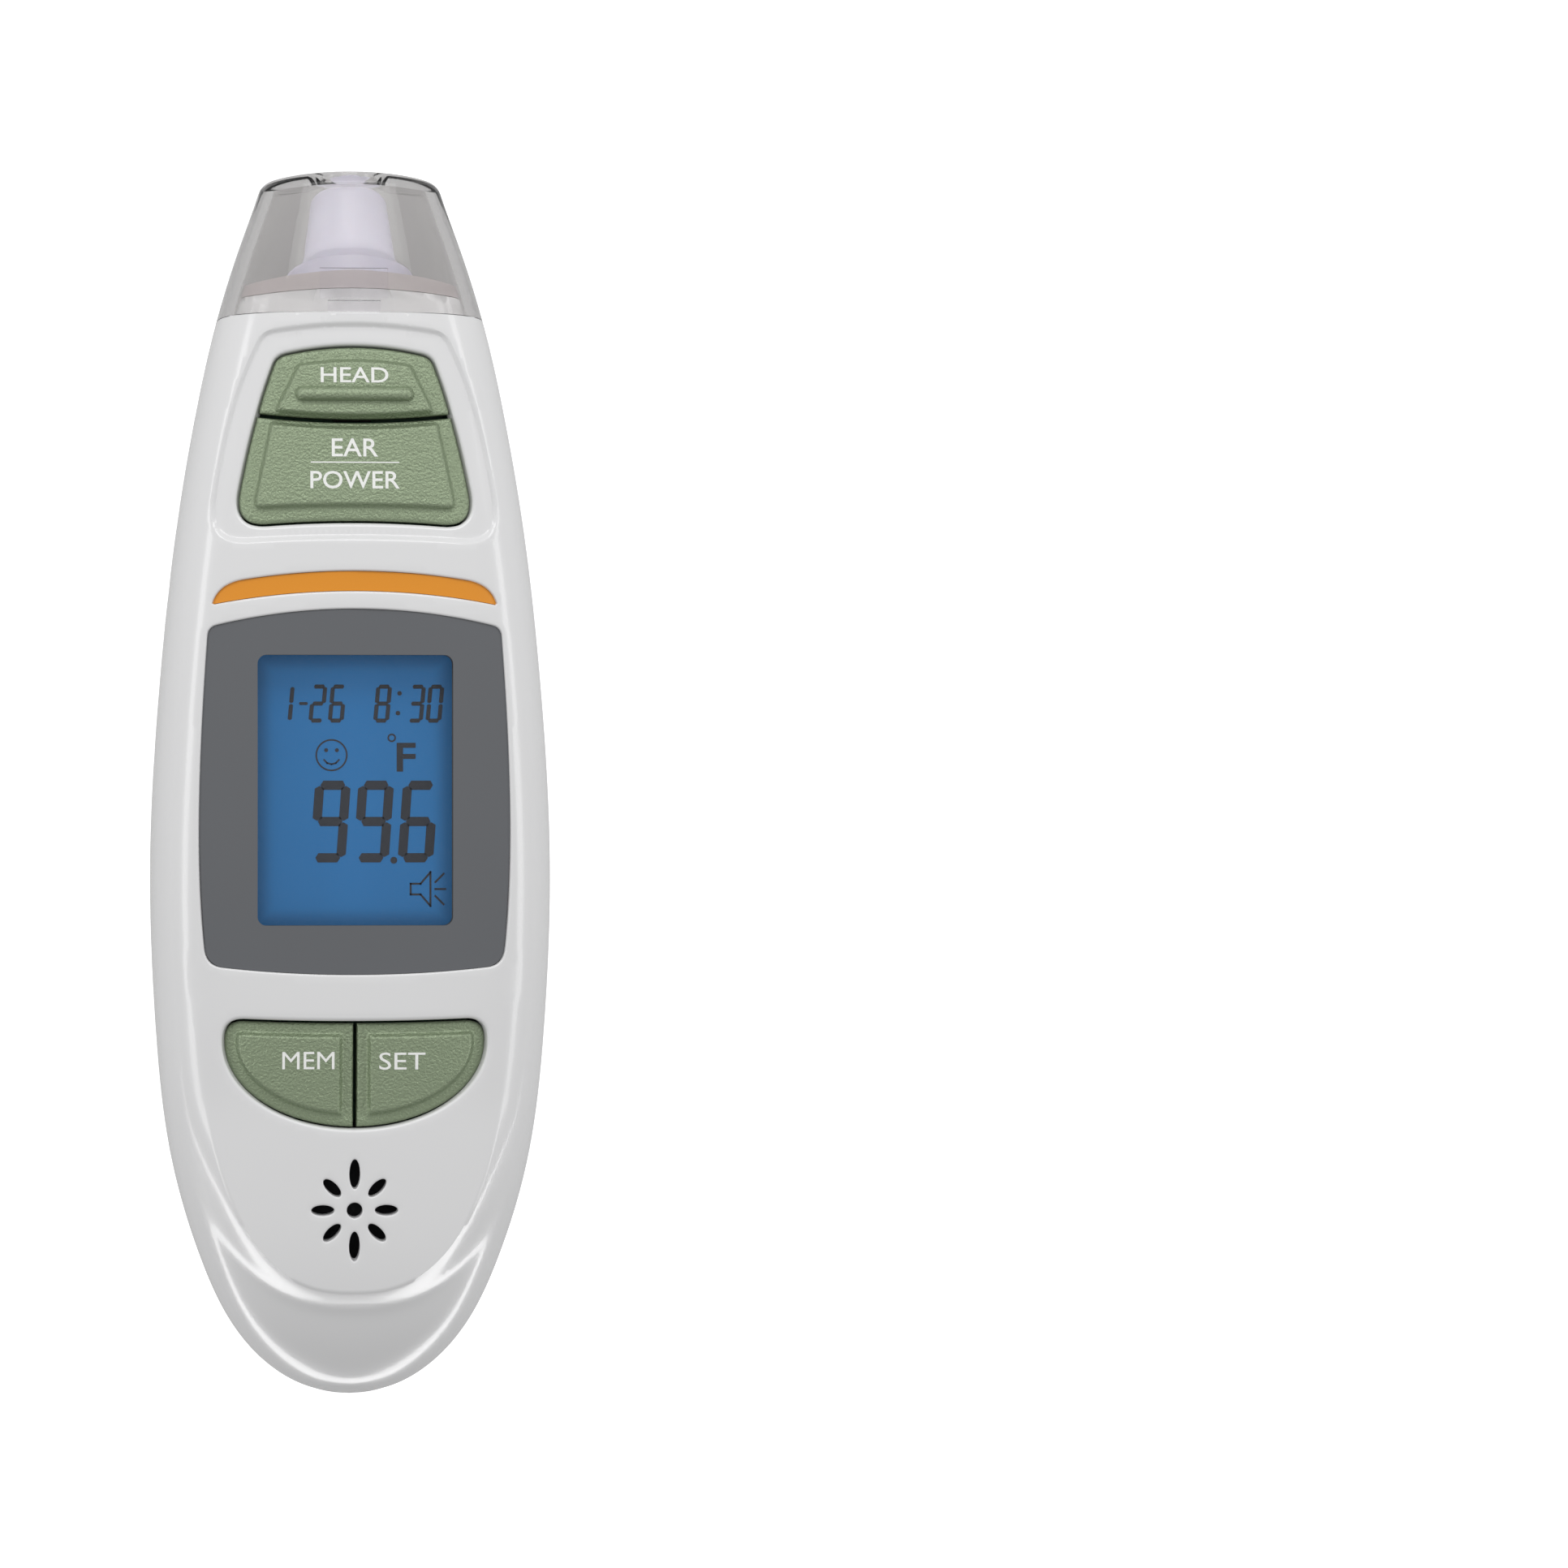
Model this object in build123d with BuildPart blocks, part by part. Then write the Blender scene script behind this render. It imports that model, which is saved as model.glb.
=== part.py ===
from build123d import *
import math
import os

# Digital ear thermometer, in millimetres. +Z points out of the display, +Y towards the ear
# probe and +X to the right of the display. It lies on its back: z = 0 is the flat of the back,
# and the origin is under the middle of its length.

os.makedirs("parts", exist_ok=True)

# ---------------------------------------------------------------- driving dimensions

WALL = 1.8  # moulded case wall
PARTING = 14.0  # height of the seam between the two case halves
SEAM = 0.1  # gap between two mouldings that meet
GLUE = 0.05  # gap around a piece that is bonded into its pocket

# The case is lofted through squared ellipses that stand across its length. Each line is:
# y, half width, back height, front height, squareness in front, squareness behind.
STATIONS = [
    (76.0, 10.1, 4.6, 21.0, 2.8, 2.6),
    (66.0, 13.35, 4.2, 24.1, 2.9, 2.7),
    (57.0, 16.15, 3.6, 26.2, 3.1, 2.8),
    (45.0, 18.85, 1.9, 27.8, 3.4, 2.9),
    (30.0, 21.3, 0.2, 29.2, 3.8, 3.0),
    (12.0, 23.2, -0.8, 30.0, 4.0, 3.0),
    (-10.0, 24.35, -0.8, 30.0, 4.0, 3.0),
    (-30.0, 23.65, -0.8, 29.2, 3.8, 3.0),
    (-46.0, 21.7, -0.5, 27.5, 3.4, 2.9),
    (-58.0, 18.2, 1.0, 25.4, 2.9, 2.7),
    (-66.5, 14.05, 3.9, 22.4, 2.5, 2.4),
    (-71.6, 9.2, 7.0, 18.9, 2.2, 2.2),
    (-73.9, 4.75, 10.1, 16.3, 2.0, 2.0),
]
NOSE_Y = -74.7  # end of the chin
NOSE_Z = 13.3
CHIN_START = -30.0  # the chin closes in from here to the nose
RING_POINTS = 24

# The plateau carries the controls and ends in a U-shaped step above the chin.
PLATEAU_FRONT = [(-26.0, 28.3), (-38.0, 28.45), (-50.0, 27.9), (-60.0, 26.9), (-66.0, 26.0)]
PLATEAU_HALF = 23.0
PLATEAU_EDGE_Y = -62.2
PLATEAU_EDGE_X = 18.6

# Junction between the case and the clear cap: a plane that leans back a little.
JUNCTION_Y = 56.3
JUNCTION_LEAN = 4.0
CAP_WALL = 1.7
CAP_END = 74.7
CAP_INNER = CAP_END - CAP_WALL
APERTURE_RADIUS = 4.5

# Neck that the cap pushes on to.
NECK_INSET = 2.0
NECK_WALL = 1.0
NECK_FOOT = 54.0
NECK_SHOULDER = 55.4

# Ear probe: its collar ring is centred here and its axis leans back.
PROBE_Y = 61.9
PROBE_Z = 14.2
PROBE_LEAN = 20.0
PROBE_LENGTH = 10.8  # from the collar to the tip
COLLAR_RADIUS = 7.85

# Levels of the stack behind the display.
LENS_BACK = 26.9
TRAY_BACK = 25.3
GLASS_TOP = 25.2
GLASS_BACK = 23.4
LIGHT_BACK = 20.9
BOARD_TOP = 20.2
BOARD_BACK = 18.6

# Buttons.
BUTTON_GAP = 0.25
BUTTON_INSET = 0.95  # depth of a button's rim below the case skin
PAD_INSET = 0.4  # depth of its raised pad
SKIRT_LOW = 24.2
FLANGE_LOW = 23.2
PUSHER_LOW = 22.7
SWITCH_TOP = 21.7
SWITCH_SIDE = 4.6
PLUNGER_RADIUS = 1.25
PLUNGER_LOW = 21.2
SWITCH_BORE = 1.32
HEAD_SWITCH = (0, 46.4)
EAR_SWITCH = (0, 38.0)
MEM_SWITCH = (-7.2, -34.4)
SET_SWITCH = (7.2, -34.4)
SWITCHES = [HEAD_SWITCH, EAR_SWITCH, MEM_SWITCH, SET_SWITCH]

# Display.
LCD_WIDTH = 27.0
LCD_LENGTH = 37.0
LCD_Y = -0.75
OPENING_WIDTH = 25.0
OPENING_LENGTH = 34.2

# Speaker under the flower of slots.
SPEAKER_Y = -51.6
SPEAKER_RADIUS = 7.5
SPEAKER_TOP = 22.4
SPEAKER_LOW = 19.4
SPEAKER_RIM = 1.0
SPEAKER_FLOOR = 0.8
MAGNET_RADIUS = 4.1
MAGNET_LOW = 17.8
MAGNET_TOP = 20.5
CONE_RADIUS = 6.3
CAP_RADIUS = 2.5  # dust cap in the middle of the cone

# Two AAA cells side by side behind the board.
CELL_RADIUS = 5.25
CELL_X = 5.6
CELL_Z = 8.6
CELL_LOW_Y = -57.0
CELL_HIGH_Y = -12.5
BAY_HALF = 11.9
CONTACT_SIDE = 7.4
BAY_WALL = 1.2
BAY_ROOF = 14.5
BAY_LOW_Y = -60.0
BAY_HIGH_Y = -9.0

# Battery door: the back of the grip, below this height and beyond this line.
DOOR_TOP = 10.0
DOOR_EDGE_Y = -8.0

# Screws.
UPPER_SCREWS = [(-18.2, 13.0), (18.2, 13.0)]
LOWER_SCREWS = [(-16.6, -42.0), (16.6, -42.0)]
BOSS_RADIUS = 2.3
SCREW_RADIUS = 0.9
HEAD_RADIUS = 1.7
BOARD_SCREWS = [(-12.0, 29.0), (12.0, 29.0), (-11.2, -26.0), (11.2, -26.0)]
BOARD_HALF = 13.8
BOARD_LOW_Y = -41.0
BOARD_HIGH_Y = 50.0


# ---------------------------------------------------------------- shared forms


def squared_ellipse(half, middle, back, front, square_front, square_behind):
    """Points of one cross-section, x across and y up, flatter in front than behind."""
    points = []
    for step in range(RING_POINTS):
        turn = 2 * math.pi * step / RING_POINTS
        across = math.sin(turn)
        up = math.cos(turn)
        power = square_front if up >= 0 else square_behind
        reach = front - middle if up >= 0 else middle - back
        radius = (abs(across) ** power + abs(up) ** power) ** (-1 / power)
        points.append((half * radius * across, middle + reach * radius * up))
    return points


def ring(y, half, back, front, square_front, square_behind):
    """A cross-section of the case as a sketch that stands across its length."""
    points = squared_ellipse(half, PARTING, back, front, square_front, square_behind)
    spacing = [step / RING_POINTS for step in range(RING_POINTS + 1)]
    with BuildSketch(Plane.XZ.offset(-y)) as section:
        with BuildLine():
            add(Edge.make_spline(points, periodic=True, parameters=spacing))
        make_face()
    return section.sketch


def case_form(inset=0.0):
    """The closed outer form of case and cap, drawn in by inset all round."""
    chin = CHIN_START - NOSE_Y
    rings = []
    for y, half, back, front, square_front, square_behind in STATIONS:
        if half - inset < 1.5:
            continue
        if y < CHIN_START:
            y = CHIN_START + (y - CHIN_START) * (chin - inset) / chin
        low = max(back, 0) + inset if inset else back
        rings.append(ring(y, half - inset, low, front - inset, square_front, square_behind))
    with BuildPart() as form:
        loft(rings + [Vertex(0, NOSE_Y + inset, NOSE_Z)])
    return form.part


def column(outline, low, high):
    """A straight column on an outline, between two heights."""
    with BuildPart() as block:
        with BuildSketch(Plane.XY.offset(low)):
            add(outline)
        extrude(amount=high - low)
    return block.part


def skin_pocket(outline, floor):
    """What a pocket takes from the front: its floor follows the case form it is given."""
    with BuildPart() as pocket:
        add(column(outline, 19.0, 33.0))
        add(floor, mode=Mode.SUBTRACT)
    return pocket.part


def skin_plug(outline, low, top):
    """A piece that fills an outline from a level up to a case form."""
    with BuildPart() as plug:
        add(column(outline, low, 33.0))
        add(top, mode=Mode.INTERSECT)
    return plug.part


outer_form = case_form()
inner_form = case_form(WALL)
lean = math.radians(JUNCTION_LEAN)
junction = Plane(
    origin=(0, JUNCTION_Y, PARTING),
    x_dir=(1, 0, 0),
    z_dir=(0, math.cos(lean), -math.sin(lean)),
)

# ---------------------------------------------------------------- outlines on the front

def upper_outline(out=0.0):
    """Outline of the two upper buttons together, let out by a margin."""
    top, low = 51.7 + out, 31.0 - out
    with BuildSketch() as outline:
        with BuildLine():
            ThreePointArc((-9.3 - out, top), (0, 52.9 + out), (9.3 + out, top))
            ThreePointArc((9.3 + out, top), (12.2 + out, 42.6), (14.6 + 1.2 * out, low))
            ThreePointArc((14.6 + 1.2 * out, low), (0, 31.8 - out), (-14.6 - 1.2 * out, low))
            ThreePointArc((-14.6 - 1.2 * out, low), (-12.2 - out, 42.6), (-9.3 - out, top))
        make_face()
        fillet(outline.vertices().group_by(Axis.Y)[-1], radius=2.0 + out)
        fillet(outline.vertices().group_by(Axis.Y)[0], radius=3.2 + out)
    return outline.sketch


def lower_outline(out=0.0):
    """Outline of the two lower buttons together: a half-moon."""
    half, top = 15.75 + out, -28.5 + out
    with BuildSketch() as outline:
        with BuildLine():
            EllipticalCenterArc((0, -31.2), half, 10.3 + out, start_angle=180, arc_size=180)
            Line((half, -31.2), (half, top))
            ThreePointArc((half, top), (0, top - 0.4), (-half, top))
            Line((-half, top), (-half, -31.2))
        make_face()
        fillet(outline.vertices().group_by(Axis.Y)[-1], radius=2.3 + 0.8 * out)
    return outline.sketch


def strip_outline(out=0.0):
    """Outline of the accent strip, a shallow arch with drooping ends."""
    with BuildSketch() as outline:
        with BuildLine():
            ThreePointArc((-13.6, 24.6 + out), (0, 25.7 + out), (13.6, 24.6 + out))
            ThreePointArc((13.6, 24.6 + out), (16.0 + out, 23.6 + out), (17.2 + out, 21.7 - out))
            ThreePointArc((17.2 + out, 21.7 - out), (0, 23.35 - out), (-17.2 - out, 21.7 - out))
            ThreePointArc((-17.2 - out, 21.7 - out), (-16.0 - out, 23.6 + out), (-13.6, 24.6 + out))
        make_face()
    return outline.sketch


def window_outline(out=0.0):
    """Outline of the display lens, a barrel with arched ends."""
    top, low = 18.9 + out, -21.9 - out
    with BuildSketch() as outline:
        with BuildLine():
            ThreePointArc((-17.7 - out, top), (0, 21.1 + out), (17.7 + out, top))
            ThreePointArc((17.7 + out, top), (18.8 + out, -5.0), (17.9 + out, low))
            ThreePointArc((17.9 + out, low), (0, -23.0 - out), (-17.9 - out, low))
            ThreePointArc((-17.9 - out, low), (-18.8 - out, -5.0), (-17.7 - out, top))
        make_face()
        fillet(outline.vertices().group_by(Axis.Y)[-1], radius=1.4 + 0.5 * out)
        fillet(outline.vertices().group_by(Axis.Y)[0], radius=2.4 + 0.5 * out)
    return outline.sketch


def below_smile(shift):
    """Everything below the curved split between the two upper buttons."""
    with BuildSketch() as region:
        with BuildLine():
            ThreePointArc((-20, 45.9 + shift), (0, 43.9 + shift), (20, 45.9 + shift))
            Polyline((20, 45.9 + shift), (20, 25), (-20, 25), (-20, 45.9 + shift))
        make_face()
    return region.sketch


def head_outline(out=0.0):
    with BuildSketch() as outline:
        add(upper_outline(out))
        add(below_smile(0.25), mode=Mode.SUBTRACT)
    return outline.sketch


def ear_outline(out=0.0):
    with BuildSketch() as outline:
        add(upper_outline(out))
        add(below_smile(-0.2), mode=Mode.INTERSECT)
    return outline.sketch


def mem_outline(out=0.0, middle_gap=0.2):
    with BuildSketch() as outline:
        add(lower_outline(out))
        with Locations((10 - middle_gap, -35)):
            Rectangle(20, 30, mode=Mode.SUBTRACT)
    return outline.sketch


with BuildSketch() as head_pad:
    with BuildLine():
        ThreePointArc((-7.0, 51.0), (0, 51.6), (7.0, 51.0))
        Line((7.0, 51.0), (10.0, 44.9))
        ThreePointArc((10.0, 44.9), (0, 44.3), (-10.0, 44.9))
        Line((-10.0, 44.9), (-7.0, 51.0))
    make_face()
    fillet(head_pad.vertices(), radius=0.6)

with BuildSketch() as ear_pad:
    with BuildLine():
        ThreePointArc((-10.3, 44.0), (0, 43.4), (10.3, 44.0))
        Line((10.3, 44.0), (12.6, 33.0))
        ThreePointArc((12.6, 33.0), (0, 33.4), (-12.6, 33.0))
        Line((-12.6, 33.0), (-10.3, 44.0))
    make_face()
    fillet(ear_pad.vertices().group_by(Axis.Y)[0], radius=1.2)
    fillet(ear_pad.vertices().group_by(Axis.Y)[-1], radius=0.5)

with BuildSketch() as dish:
    with BuildLine():
        ThreePointArc((-11.2, 55.0), (0, 56.1), (11.2, 55.0))
        ThreePointArc((11.2, 55.0), (15.6, 43.5), (18.0, 28.6))
        ThreePointArc((18.0, 28.6), (0, 29.4), (-18.0, 28.6))
        ThreePointArc((-18.0, 28.6), (-15.6, 43.5), (-11.2, 55.0))
    make_face()
    fillet(dish.vertices().group_by(Axis.Y)[-1], radius=3.0)
    fillet(dish.vertices().group_by(Axis.Y)[0], radius=4.5)

with BuildSketch() as sound_slots:
    with Locations((0, SPEAKER_Y)):
        Circle(0.95)
    for turn in range(8):
        upright = turn % 4 == 0
        slot_length = 3.6 if upright else 2.8
        reach = 4.4 if upright else 3.85
        angle = math.radians(90 + 45 * turn)
        centre = (reach * math.cos(angle), SPEAKER_Y + reach * math.sin(angle))
        with Locations(Location(centre, 90 + 45 * turn)):
            Ellipse(slot_length / 2, 0.65)

with BuildSketch() as plateau_outline:
    with BuildLine():
        Spline(
            (-PLATEAU_EDGE_X - 1.0, -18),
            (-PLATEAU_EDGE_X, -43),
            (-12.6, -57.0),
            (0, PLATEAU_EDGE_Y),
            (12.6, -57.0),
            (PLATEAU_EDGE_X, -43),
            (PLATEAU_EDGE_X + 1.0, -18),
        )
        Line((PLATEAU_EDGE_X + 1.0, -18), (-PLATEAU_EDGE_X - 1.0, -18))
    make_face()

with BuildSketch() as lcd_opening:
    with Locations((0, LCD_Y)):
        RectangleRounded(OPENING_WIDTH, OPENING_LENGTH, 1.2)

with BuildSketch() as speaker_rib:
    with Locations((0, SPEAKER_Y)):
        Circle(SPEAKER_RADIUS + 1.4)
        Circle(SPEAKER_RADIUS + 0.2, mode=Mode.SUBTRACT)

with BuildSketch() as case_posts:
    with Locations(*UPPER_SCREWS, *LOWER_SCREWS):
        Circle(BOSS_RADIUS)

with BuildSketch() as board_posts:
    with Locations(*BOARD_SCREWS):
        Circle(1.6)


def drilled(places, radius):
    """Round holes at several places, as one outline."""
    with BuildSketch() as holes:
        with Locations(*places):
            Circle(radius)
    return holes.sketch


def slab(width, length, centre):
    """A plain rectangular outline about a centre."""
    with BuildSketch() as rectangle:
        with Locations(centre):
            Rectangle(width, length)
    return rectangle.sketch


# ---------------------------------------------------------------- case halves

neck_form = case_form(NECK_INSET)
neck_hollow = case_form(NECK_INSET + NECK_WALL)
near_skin = case_form(1.0)

with BuildSketch() as neck_plan:
    with BuildLine():
        ThreePointArc((-20, 57.5), (0, 60.1), (20, 57.5))
        Polyline((20, 57.5), (20, NECK_FOOT), (-20, NECK_FOOT), (-20, 57.5))
    make_face()

with BuildPart() as neck_root:
    add(column(slab(60, NECK_SHOULDER - NECK_FOOT, (0, (NECK_SHOULDER + NECK_FOOT) / 2)), 0, 33))
    add(case_form(1.4), mode=Mode.INTERSECT)

with BuildPart() as neck:
    add(column(neck_plan.sketch, 0, 33))
    add(neck_form, mode=Mode.INTERSECT)
    add(neck_root.part)
    add(neck_hollow, mode=Mode.SUBTRACT)

with BuildPart() as plateau:
    sections = []
    for plateau_y, plateau_z in PLATEAU_FRONT:
        sections.append(ring(plateau_y, PLATEAU_HALF, 12.0, plateau_z, 3.6, 3.0))
    loft(sections)
    add(column(plateau_outline.sketch, PARTING + 0.5, 33.0), mode=Mode.INTERSECT)

with BuildPart() as front_shell:
    add(outer_form)
    add(plateau.part)
    add(inner_form, mode=Mode.SUBTRACT)
    split(bisect_by=junction, keep=Keep.BOTTOM)
    add(neck.part)
    split(bisect_by=Plane.XY.offset(PARTING + SEAM / 2), keep=Keep.TOP)
    # The ledge under the display lens, the speaker rib and the screw posts.
    add(skin_plug(window_outline(1.3), TRAY_BACK, near_skin))
    add(skin_plug(speaker_rib.sketch, SPEAKER_TOP - 1.0, case_form(1.2)))
    add(skin_plug(case_posts.sketch, PARTING + SEAM / 2, case_form(1.2)))
    add(skin_plug(board_posts.sketch, BOARD_TOP, case_form(1.2)))
    # The dish and the openings for buttons, sound, strip, lens and display.
    add(skin_pocket(dish.sketch, case_form(0.6)), mode=Mode.SUBTRACT)
    for outline in (upper_outline(BUTTON_GAP), lower_outline(BUTTON_GAP)):
        add(column(outline, SKIRT_LOW - 4, 33.0), mode=Mode.SUBTRACT)
    add(column(sound_slots.sketch, SPEAKER_TOP - 1, 33.0), mode=Mode.SUBTRACT)
    add(skin_pocket(strip_outline(GLUE), case_form(1.2)), mode=Mode.SUBTRACT)
    add(column(window_outline(GLUE), LENS_BACK, 33.0), mode=Mode.SUBTRACT)
    add(column(lcd_opening.sketch, TRAY_BACK - 1, 30.0), mode=Mode.SUBTRACT)
    # Pilot holes up into the posts.
    add(column(drilled(UPPER_SCREWS + LOWER_SCREWS, SCREW_RADIUS), PARTING, 20.6), mode=Mode.SUBTRACT)
    add(column(drilled(BOARD_SCREWS, 0.7), BOARD_TOP, 23.4), mode=Mode.SUBTRACT)
front_shell.part.label = "front_shell"
export_step(front_shell.part, "parts/front_shell.step")

bay_middle = (0, (BAY_LOW_Y + BAY_HIGH_Y) / 2)
bay_length = BAY_HIGH_Y - BAY_LOW_Y
door_zone = slab(60, 80, (0, DOOR_EDGE_Y - 40))

with BuildPart() as bay:
    with BuildSketch(Plane.XY.offset(CELL_Z)):
        with Locations(bay_middle):
            Rectangle(2 * (BAY_HALF + BAY_WALL), bay_length + 2 * BAY_WALL)
    extrude(amount=BAY_ROOF + BAY_WALL - CELL_Z)
    with BuildSketch(Plane.XY.offset(CELL_Z)):
        with Locations(bay_middle):
            Rectangle(2 * BAY_HALF, bay_length)
    extrude(amount=BAY_ROOF - CELL_Z, mode=Mode.SUBTRACT)

with BuildPart() as bay_ribs:
    add(column(slab(46, 1.2, (0, DOOR_EDGE_Y + 0.7)), 0.4, PARTING - SEAM / 2))
    for tie_y in (-42.0, -24.0):
        for side in (-1, 1):
            tie = slab(11.0, 1.4, (17.6 * side, tie_y))
            add(column(tie, DOOR_TOP + 0.6, PARTING - SEAM / 2))
    add(case_form(1.1), mode=Mode.INTERSECT)

with BuildPart() as back_posts:
    add(column(drilled(UPPER_SCREWS, BOSS_RADIUS), 0.5, PARTING - SEAM / 2))
    add(column(drilled(LOWER_SCREWS, BOSS_RADIUS), DOOR_TOP + 0.6, PARTING - SEAM / 2))
    add(case_form(1.2), mode=Mode.INTERSECT)

with BuildPart() as back_shell:
    add(outer_form)
    split(bisect_by=Plane.XY, keep=Keep.TOP)
    add(inner_form, mode=Mode.SUBTRACT)
    split(bisect_by=junction, keep=Keep.BOTTOM)
    add(neck.part)
    split(bisect_by=Plane.XY.offset(PARTING - SEAM / 2), keep=Keep.BOTTOM)
    add(column(door_zone, -2.0, DOOR_TOP + SEAM / 2), mode=Mode.SUBTRACT)
    add(bay.part)
    add(bay_ribs.part)
    add(back_posts.part)
    # Screws pass up through the posts and their heads sink in from behind.
    screw_places = UPPER_SCREWS + LOWER_SCREWS
    add(column(drilled(screw_places, SCREW_RADIUS + 0.25), -1.0, PARTING), mode=Mode.SUBTRACT)
    add(column(drilled(UPPER_SCREWS, HEAD_RADIUS + 0.3), -1.0, 6.0), mode=Mode.SUBTRACT)
back_shell.part.label = "back_shell"
export_step(back_shell.part, "parts/back_shell.step")

with BuildPart() as battery_door:
    add(outer_form)
    split(bisect_by=Plane.XY, keep=Keep.TOP)
    add(inner_form, mode=Mode.SUBTRACT)
    add(column(door_zone, -1.0, DOOR_TOP - SEAM / 2), mode=Mode.INTERSECT)
    split(bisect_by=Plane.XZ.offset(-(DOOR_EDGE_Y - SEAM)), keep=Keep.TOP)
    # Finger grooves across the top of the door.
    for groove in range(4):
        groove_y = DOOR_EDGE_Y - 6.0 - 2.2 * groove
        add(column(slab(13.0 - groove, 1.0, (0, groove_y)), -1.0, 0.5), mode=Mode.SUBTRACT)
battery_door.part.label = "battery_door"
export_step(battery_door.part, "parts/battery_door.step")

# ---------------------------------------------------------------- clear cap

with BuildSketch() as cap_plan:
    with BuildLine():
        ThreePointArc((-22, CAP_END - 5.4), (0, CAP_END), (22, CAP_END - 5.4))
        Polyline((22, CAP_END - 5.4), (22, 50), (-22, 50), (-22, CAP_END - 5.4))
    make_face()

with BuildSketch() as cap_hollow_plan:
    with BuildLine():
        ThreePointArc((-22, CAP_INNER - 5.4), (0, CAP_INNER), (22, CAP_INNER - 5.4))
        Polyline((22, CAP_INNER - 5.4), (22, 50), (-22, 50), (-22, CAP_INNER - 5.4))
    make_face()

cap_seat = Plane(
    origin=junction.origin + junction.z_dir * SEAM, x_dir=junction.x_dir, z_dir=junction.z_dir
)

probe_lean = math.radians(PROBE_LEAN)
probe_base = Plane(
    origin=(0, PROBE_Y, PROBE_Z),
    x_dir=(1, 0, 0),
    z_dir=(0, math.cos(probe_lean), -math.sin(probe_lean)),
)

with BuildPart() as cap_block:
    add(outer_form)
    add(column(cap_plan.sketch, 0, 33), mode=Mode.INTERSECT)
    split(bisect_by=cap_seat, keep=Keep.TOP)
    fillet(cap_block.faces().sort_by(Axis.Y)[-1].edges(), radius=2.2)

with BuildPart() as cap_hollow:
    add(case_form(CAP_WALL))
    add(column(cap_hollow_plan.sketch, 0, 33), mode=Mode.INTERSECT)

with BuildPart() as clear_cap:
    add(cap_block.part)
    add(cap_hollow.part, mode=Mode.SUBTRACT)
    # Round aperture that the sensor looks out of while the cap is on.
    with BuildSketch(probe_base.offset(PROBE_LENGTH - 2.5)):
        Circle(APERTURE_RADIUS)
    extrude(amount=8.0, mode=Mode.SUBTRACT)
clear_cap.part.label = "clear_cap"
export_step(clear_cap.part, "parts/clear_cap.step")

# ---------------------------------------------------------------- ear probe

# Radius of the probe at distances from its collar, tip last.
with BuildPart() as probe_solid:
    with BuildSketch(Plane.XZ):
        with BuildLine():
            Polyline((0, -4.5), (COLLAR_RADIUS, -4.5), (COLLAR_RADIUS, -0.3))
            ThreePointArc((COLLAR_RADIUS, -0.3), (6.1, 1.3), (5.5, 3.4))
            Line((5.5, 3.4), (4.75, 9.3))
            ThreePointArc((4.75, 9.3), (4.3, 10.4), (3.3, PROBE_LENGTH))
            Polyline((3.3, PROBE_LENGTH), (0, PROBE_LENGTH), (0, -4.5))
        make_face()
    revolve(axis=Axis.Z)

with BuildPart() as probe_hollow:
    with BuildSketch(Plane.XZ):
        with BuildLine():
            Polyline((0, -5.0), (6.6, -5.0), (6.6, -1.0), (4.4, 2.6), (3.5, 9.0))
            Polyline((3.5, 9.0), (2.9, 10.0), (2.9, 12.0), (0, 12.0), (0, -5.0))
        make_face()
    revolve(axis=Axis.Z)

probe_place = probe_base.location

with BuildPart() as probe_cone:
    add(probe_solid.part)
    add(probe_hollow.part, mode=Mode.SUBTRACT)
probe_cone.part.label = "probe_cone"
probe_cone.part.location = probe_place
export_step(probe_cone.part, "parts/probe_cone.step")


def probe_turned(radius, bore, low, high):
    """A round piece on the probe's axis, from one distance to another."""
    with BuildPart() as turned:
        with BuildSketch(probe_base.offset(low)):
            Circle(radius)
            if bore:
                Circle(bore, mode=Mode.SUBTRACT)
        extrude(amount=high - low)
    return turned


probe_window = probe_turned(2.85, 0, PROBE_LENGTH - 0.5, PROBE_LENGTH - 0.2)
probe_window.part.label = "probe_window"
export_step(probe_window.part, "parts/probe_window.step")

waveguide_tube = probe_turned(2.4, 2.0, -0.6, PROBE_LENGTH - 1.0)
waveguide_tube.part.label = "waveguide_tube"
export_step(waveguide_tube.part, "parts/waveguide_tube.step")

sensor_filter = probe_turned(1.5, 0, -0.95, -0.7)
sensor_filter.part.label = "sensor_filter"
export_step(sensor_filter.part, "parts/sensor_filter.step")

sensor_can = probe_turned(2.7, 0, -3.6, -1.0)
sensor_can.part.label = "sensor_can"
export_step(sensor_can.part, "parts/sensor_can.step")

sensor_sleeve = probe_turned(4.0, 2.75, -3.8, 1.4)
sensor_sleeve.part.label = "sensor_sleeve"
export_step(sensor_sleeve.part, "parts/sensor_sleeve.step")

sensor_board = probe_turned(5.4, 0, -4.6, -3.9)
sensor_board.part.label = "sensor_board"
export_step(sensor_board.part, "parts/sensor_board.step")

# Flexible strip from the sensor's board to the main board.
with BuildPart() as sensor_flex:
    with BuildSketch(Plane.YZ.offset(-2.5)):
        with BuildLine():
            Polyline((57.2, 17.5), (56.1, 17.5), (53.1, 21.5), (49.4, 21.5), (49.4, 20.25))
            Polyline((49.4, 20.25), (49.7, 20.25), (49.7, 21.25), (53.0, 21.25), (56.0, 17.25))
            Polyline((56.0, 17.25), (57.2, 17.25), (57.2, 17.5))
        make_face()
    extrude(amount=5.0)
sensor_flex.part.label = "sensor_flex"
export_step(sensor_flex.part, "parts/sensor_flex.step")

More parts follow.
